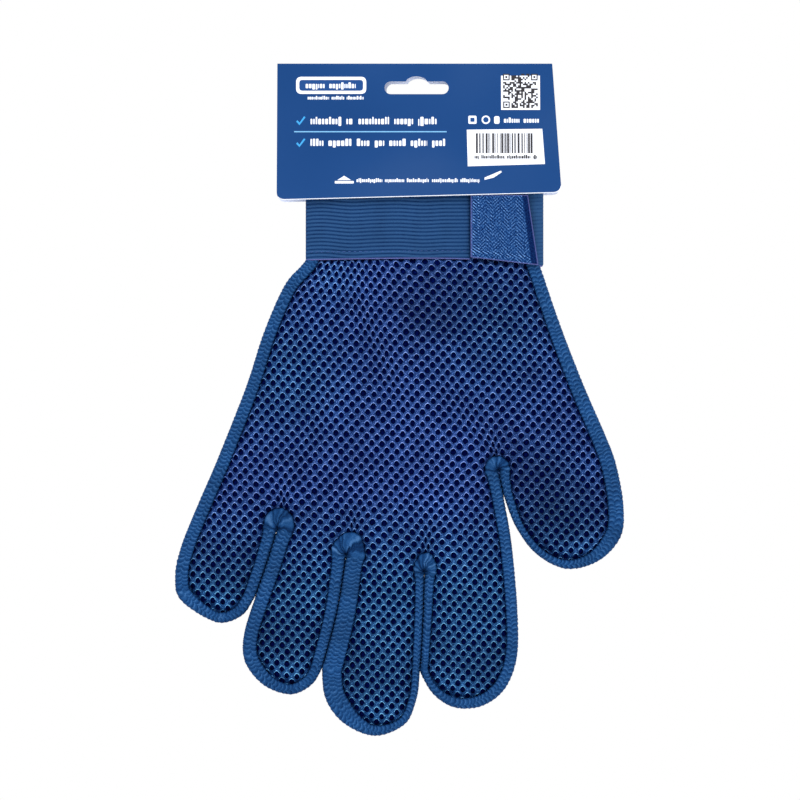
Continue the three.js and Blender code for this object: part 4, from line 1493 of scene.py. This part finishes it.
def make_print(white, blue, pale_blue, base, dark):
    """Everything printed on the front leaf, in generic shapes: (x, z) ranges on the leaf, in mm."""
    words = [
        rectangle(-55.7, -24.9, 27.5, 35.1, 2.4), *blobs(-50.6, -25.8, 25.0, 26.6, [5, 3, 4], 1),
        edge_line(), *blobs(-49.3, 6.6, 14.0, 17.3, [8, 2, 8, 5, 5], 2),
        *blobs(-49.3, 10.1, 4.4, 7.6, [4, 7, 4, 3, 5, 5, 4], 3),
        *blobs(35.5, 51.5, 14.7, 17.0, [5, 5], 4), *blobs(-29.1, 25.0, -11.6, -9.9, [8, 6, 7, 8, 6], 5),
        rectangle(19.9, 23.5, 14.2, 17.8, 0.6), disc(27.6, 16, 1.9), rectangle(31.2, 33.6, 14.2, 17.6, 0.9),
        rectangle(-38.6, -30.3, -12.2, -11.1, 0.3),
        np.array([(-37.5, -10.7), (-31.5, -10.7), (-34.5, -8.8)]),
        np.array([(26.9, -10.6), (30.9, -9.6), (34.5, -7.2), (34.1, -6.5), (30.2, -8.2), (26.9, -9.6)]),
    ]
    label = np.array([(19.6, -4.6), (53.4, -3.6), (52.3, 12.0), (19.2, 11.6)])
    panels = [rectangle(34.3, 51.4, 20.4, 35.6), label]
    inner = [rectangle(-54.3, -26.3, 28.9, 33.7, 1.4), disc(27.6, 16, 1.2),
             rectangle(20.8, 22.6, 15.1, 16.9, 0.2)]
    code_dark, code_light, code_middle = square_code(35.2, 21.2, 15.2, 21, 6)
    strokes = bars(23.2, 48.7, 1.2, 10.0, 7)
    digits = blobs(22.6, 50.2, -1.2, 0.4, [1, 5, 5, 1], 8)
    print_shapes("print_white", words, white)
    print_shapes("print_panels", panels, white)
    print_shapes("print_inner", inner, base, 2)
    print_shapes("print_marks", blobs(-51.5, -29.2, 30.0, 32.6, [3, 4], 9), white, 3)
    ticks = [tick(-55.6, -51.5, 13.6, 17.3), tick(-55.6, -51.5, 3.9, 7.5)]
    print_shapes("print_ticks", ticks, blue)
    print_shapes("print_line", [rectangle(-56.5, 10.4, 10.45, 10.95)], pale_blue)
    print_shapes("print_dark", code_dark + strokes + digits, dark, 2)
    print_shapes("print_code_frames", code_light, white, 3)
    print_shapes("print_code_middles", code_middle, dark, 4)


make_tape(tape_material())
make_mesh_and_cloth(net_material(), shaded_lining_material(), cloth_material())
make_cuff(elastic_material(), patch_material(), patch_material(), hook_material(), thread_material())
make_pads(rubber_material())
make_card(card_material(), ink_material("cut card edge", (196, 206, 232), (226, 230, 244)))
make_print(
    ink_material("white ink", (214, 220, 232), (234, 236, 242)),
    ink_material("light blue ink", (40, 136, 200), (70, 156, 212)),
    ink_material("pale blue ink", (104, 164, 206), (124, 176, 214)),
    ink_material("card blue ink", (18, 62, 119), (26, 66, 123)),
    ink_material("dark ink", (38, 36, 40), (58, 56, 60)),
)


# ---------------------------------------------------------------- camera, light and floor

VIEW_CENTRE = (-10.07, -7.0, -106.9)
VIEW_WIDTH = 350.4
CAMERA_DISTANCE = 1600.0
SENSOR = 36.0
FLOOR_Z = -450.0


def make_stage():
    """The camera square to the back of the hand, three soft lights, a white world and a pale floor."""
    scene = bpy.context.scene
    scene.view_settings.view_transform = "Standard"
    camera = bpy.data.objects.new("camera", bpy.data.cameras.new("camera"))
    scene.collection.objects.link(camera)
    scene.camera = camera
    camera.data.sensor_width = SENSOR
    camera.data.lens = SENSOR * CAMERA_DISTANCE / VIEW_WIDTH
    x, y, z = VIEW_CENTRE
    camera.location = Vector((x, y - CAMERA_DISTANCE, z)) * MM
    camera.rotation_euler = (math.pi / 2, 0, 0)

    world = bpy.data.worlds.new("white studio")
    scene.world = world
    world.use_nodes = True
    world.node_tree.nodes["Background"].inputs["Color"].default_value = (1, 1, 1, 1)
    world.node_tree.nodes["Background"].inputs["Strength"].default_value = 1.0

    for name, place, size, power in (
        ("key", (-450, -900, 700), 0.7, 9.0),
        ("fill", (800, -700, 100), 0.9, 3.0),
        ("back", (300, 900, 700), 0.9, 8.0),
    ):
        light = bpy.data.objects.new(name, bpy.data.lights.new(name, "AREA"))
        scene.collection.objects.link(light)
        light.data.size = size
        light.data.energy = power
        light.location = Vector(place) * MM
        aim = Vector(VIEW_CENTRE) * MM - light.location
        light.rotation_euler = aim.to_track_quat("-Z", "Y").to_euler()

    floor_mesh = bpy.data.meshes.new("floor")
    side = 1.2
    corners = [(-side, -side, 0), (side, -side, 0), (side, side, 0), (-side, side, 0)]
    floor_mesh.from_pydata(corners, [], [(0, 1, 2, 3)])
    floor = bpy.data.objects.new("floor", floor_mesh)
    floor.location.z = FLOOR_Z * MM
    scene.collection.objects.link(floor)
    paint = bpy.data.materials.new("pale floor")
    paint.use_nodes = True
    paint.node_tree.nodes["Principled BSDF"].inputs["Base Color"].default_value = (0.86, 0.86, 0.86, 1)
    paint.node_tree.nodes["Principled BSDF"].inputs["Roughness"].default_value = 0.8
    floor_mesh.materials.append(paint)


make_stage()
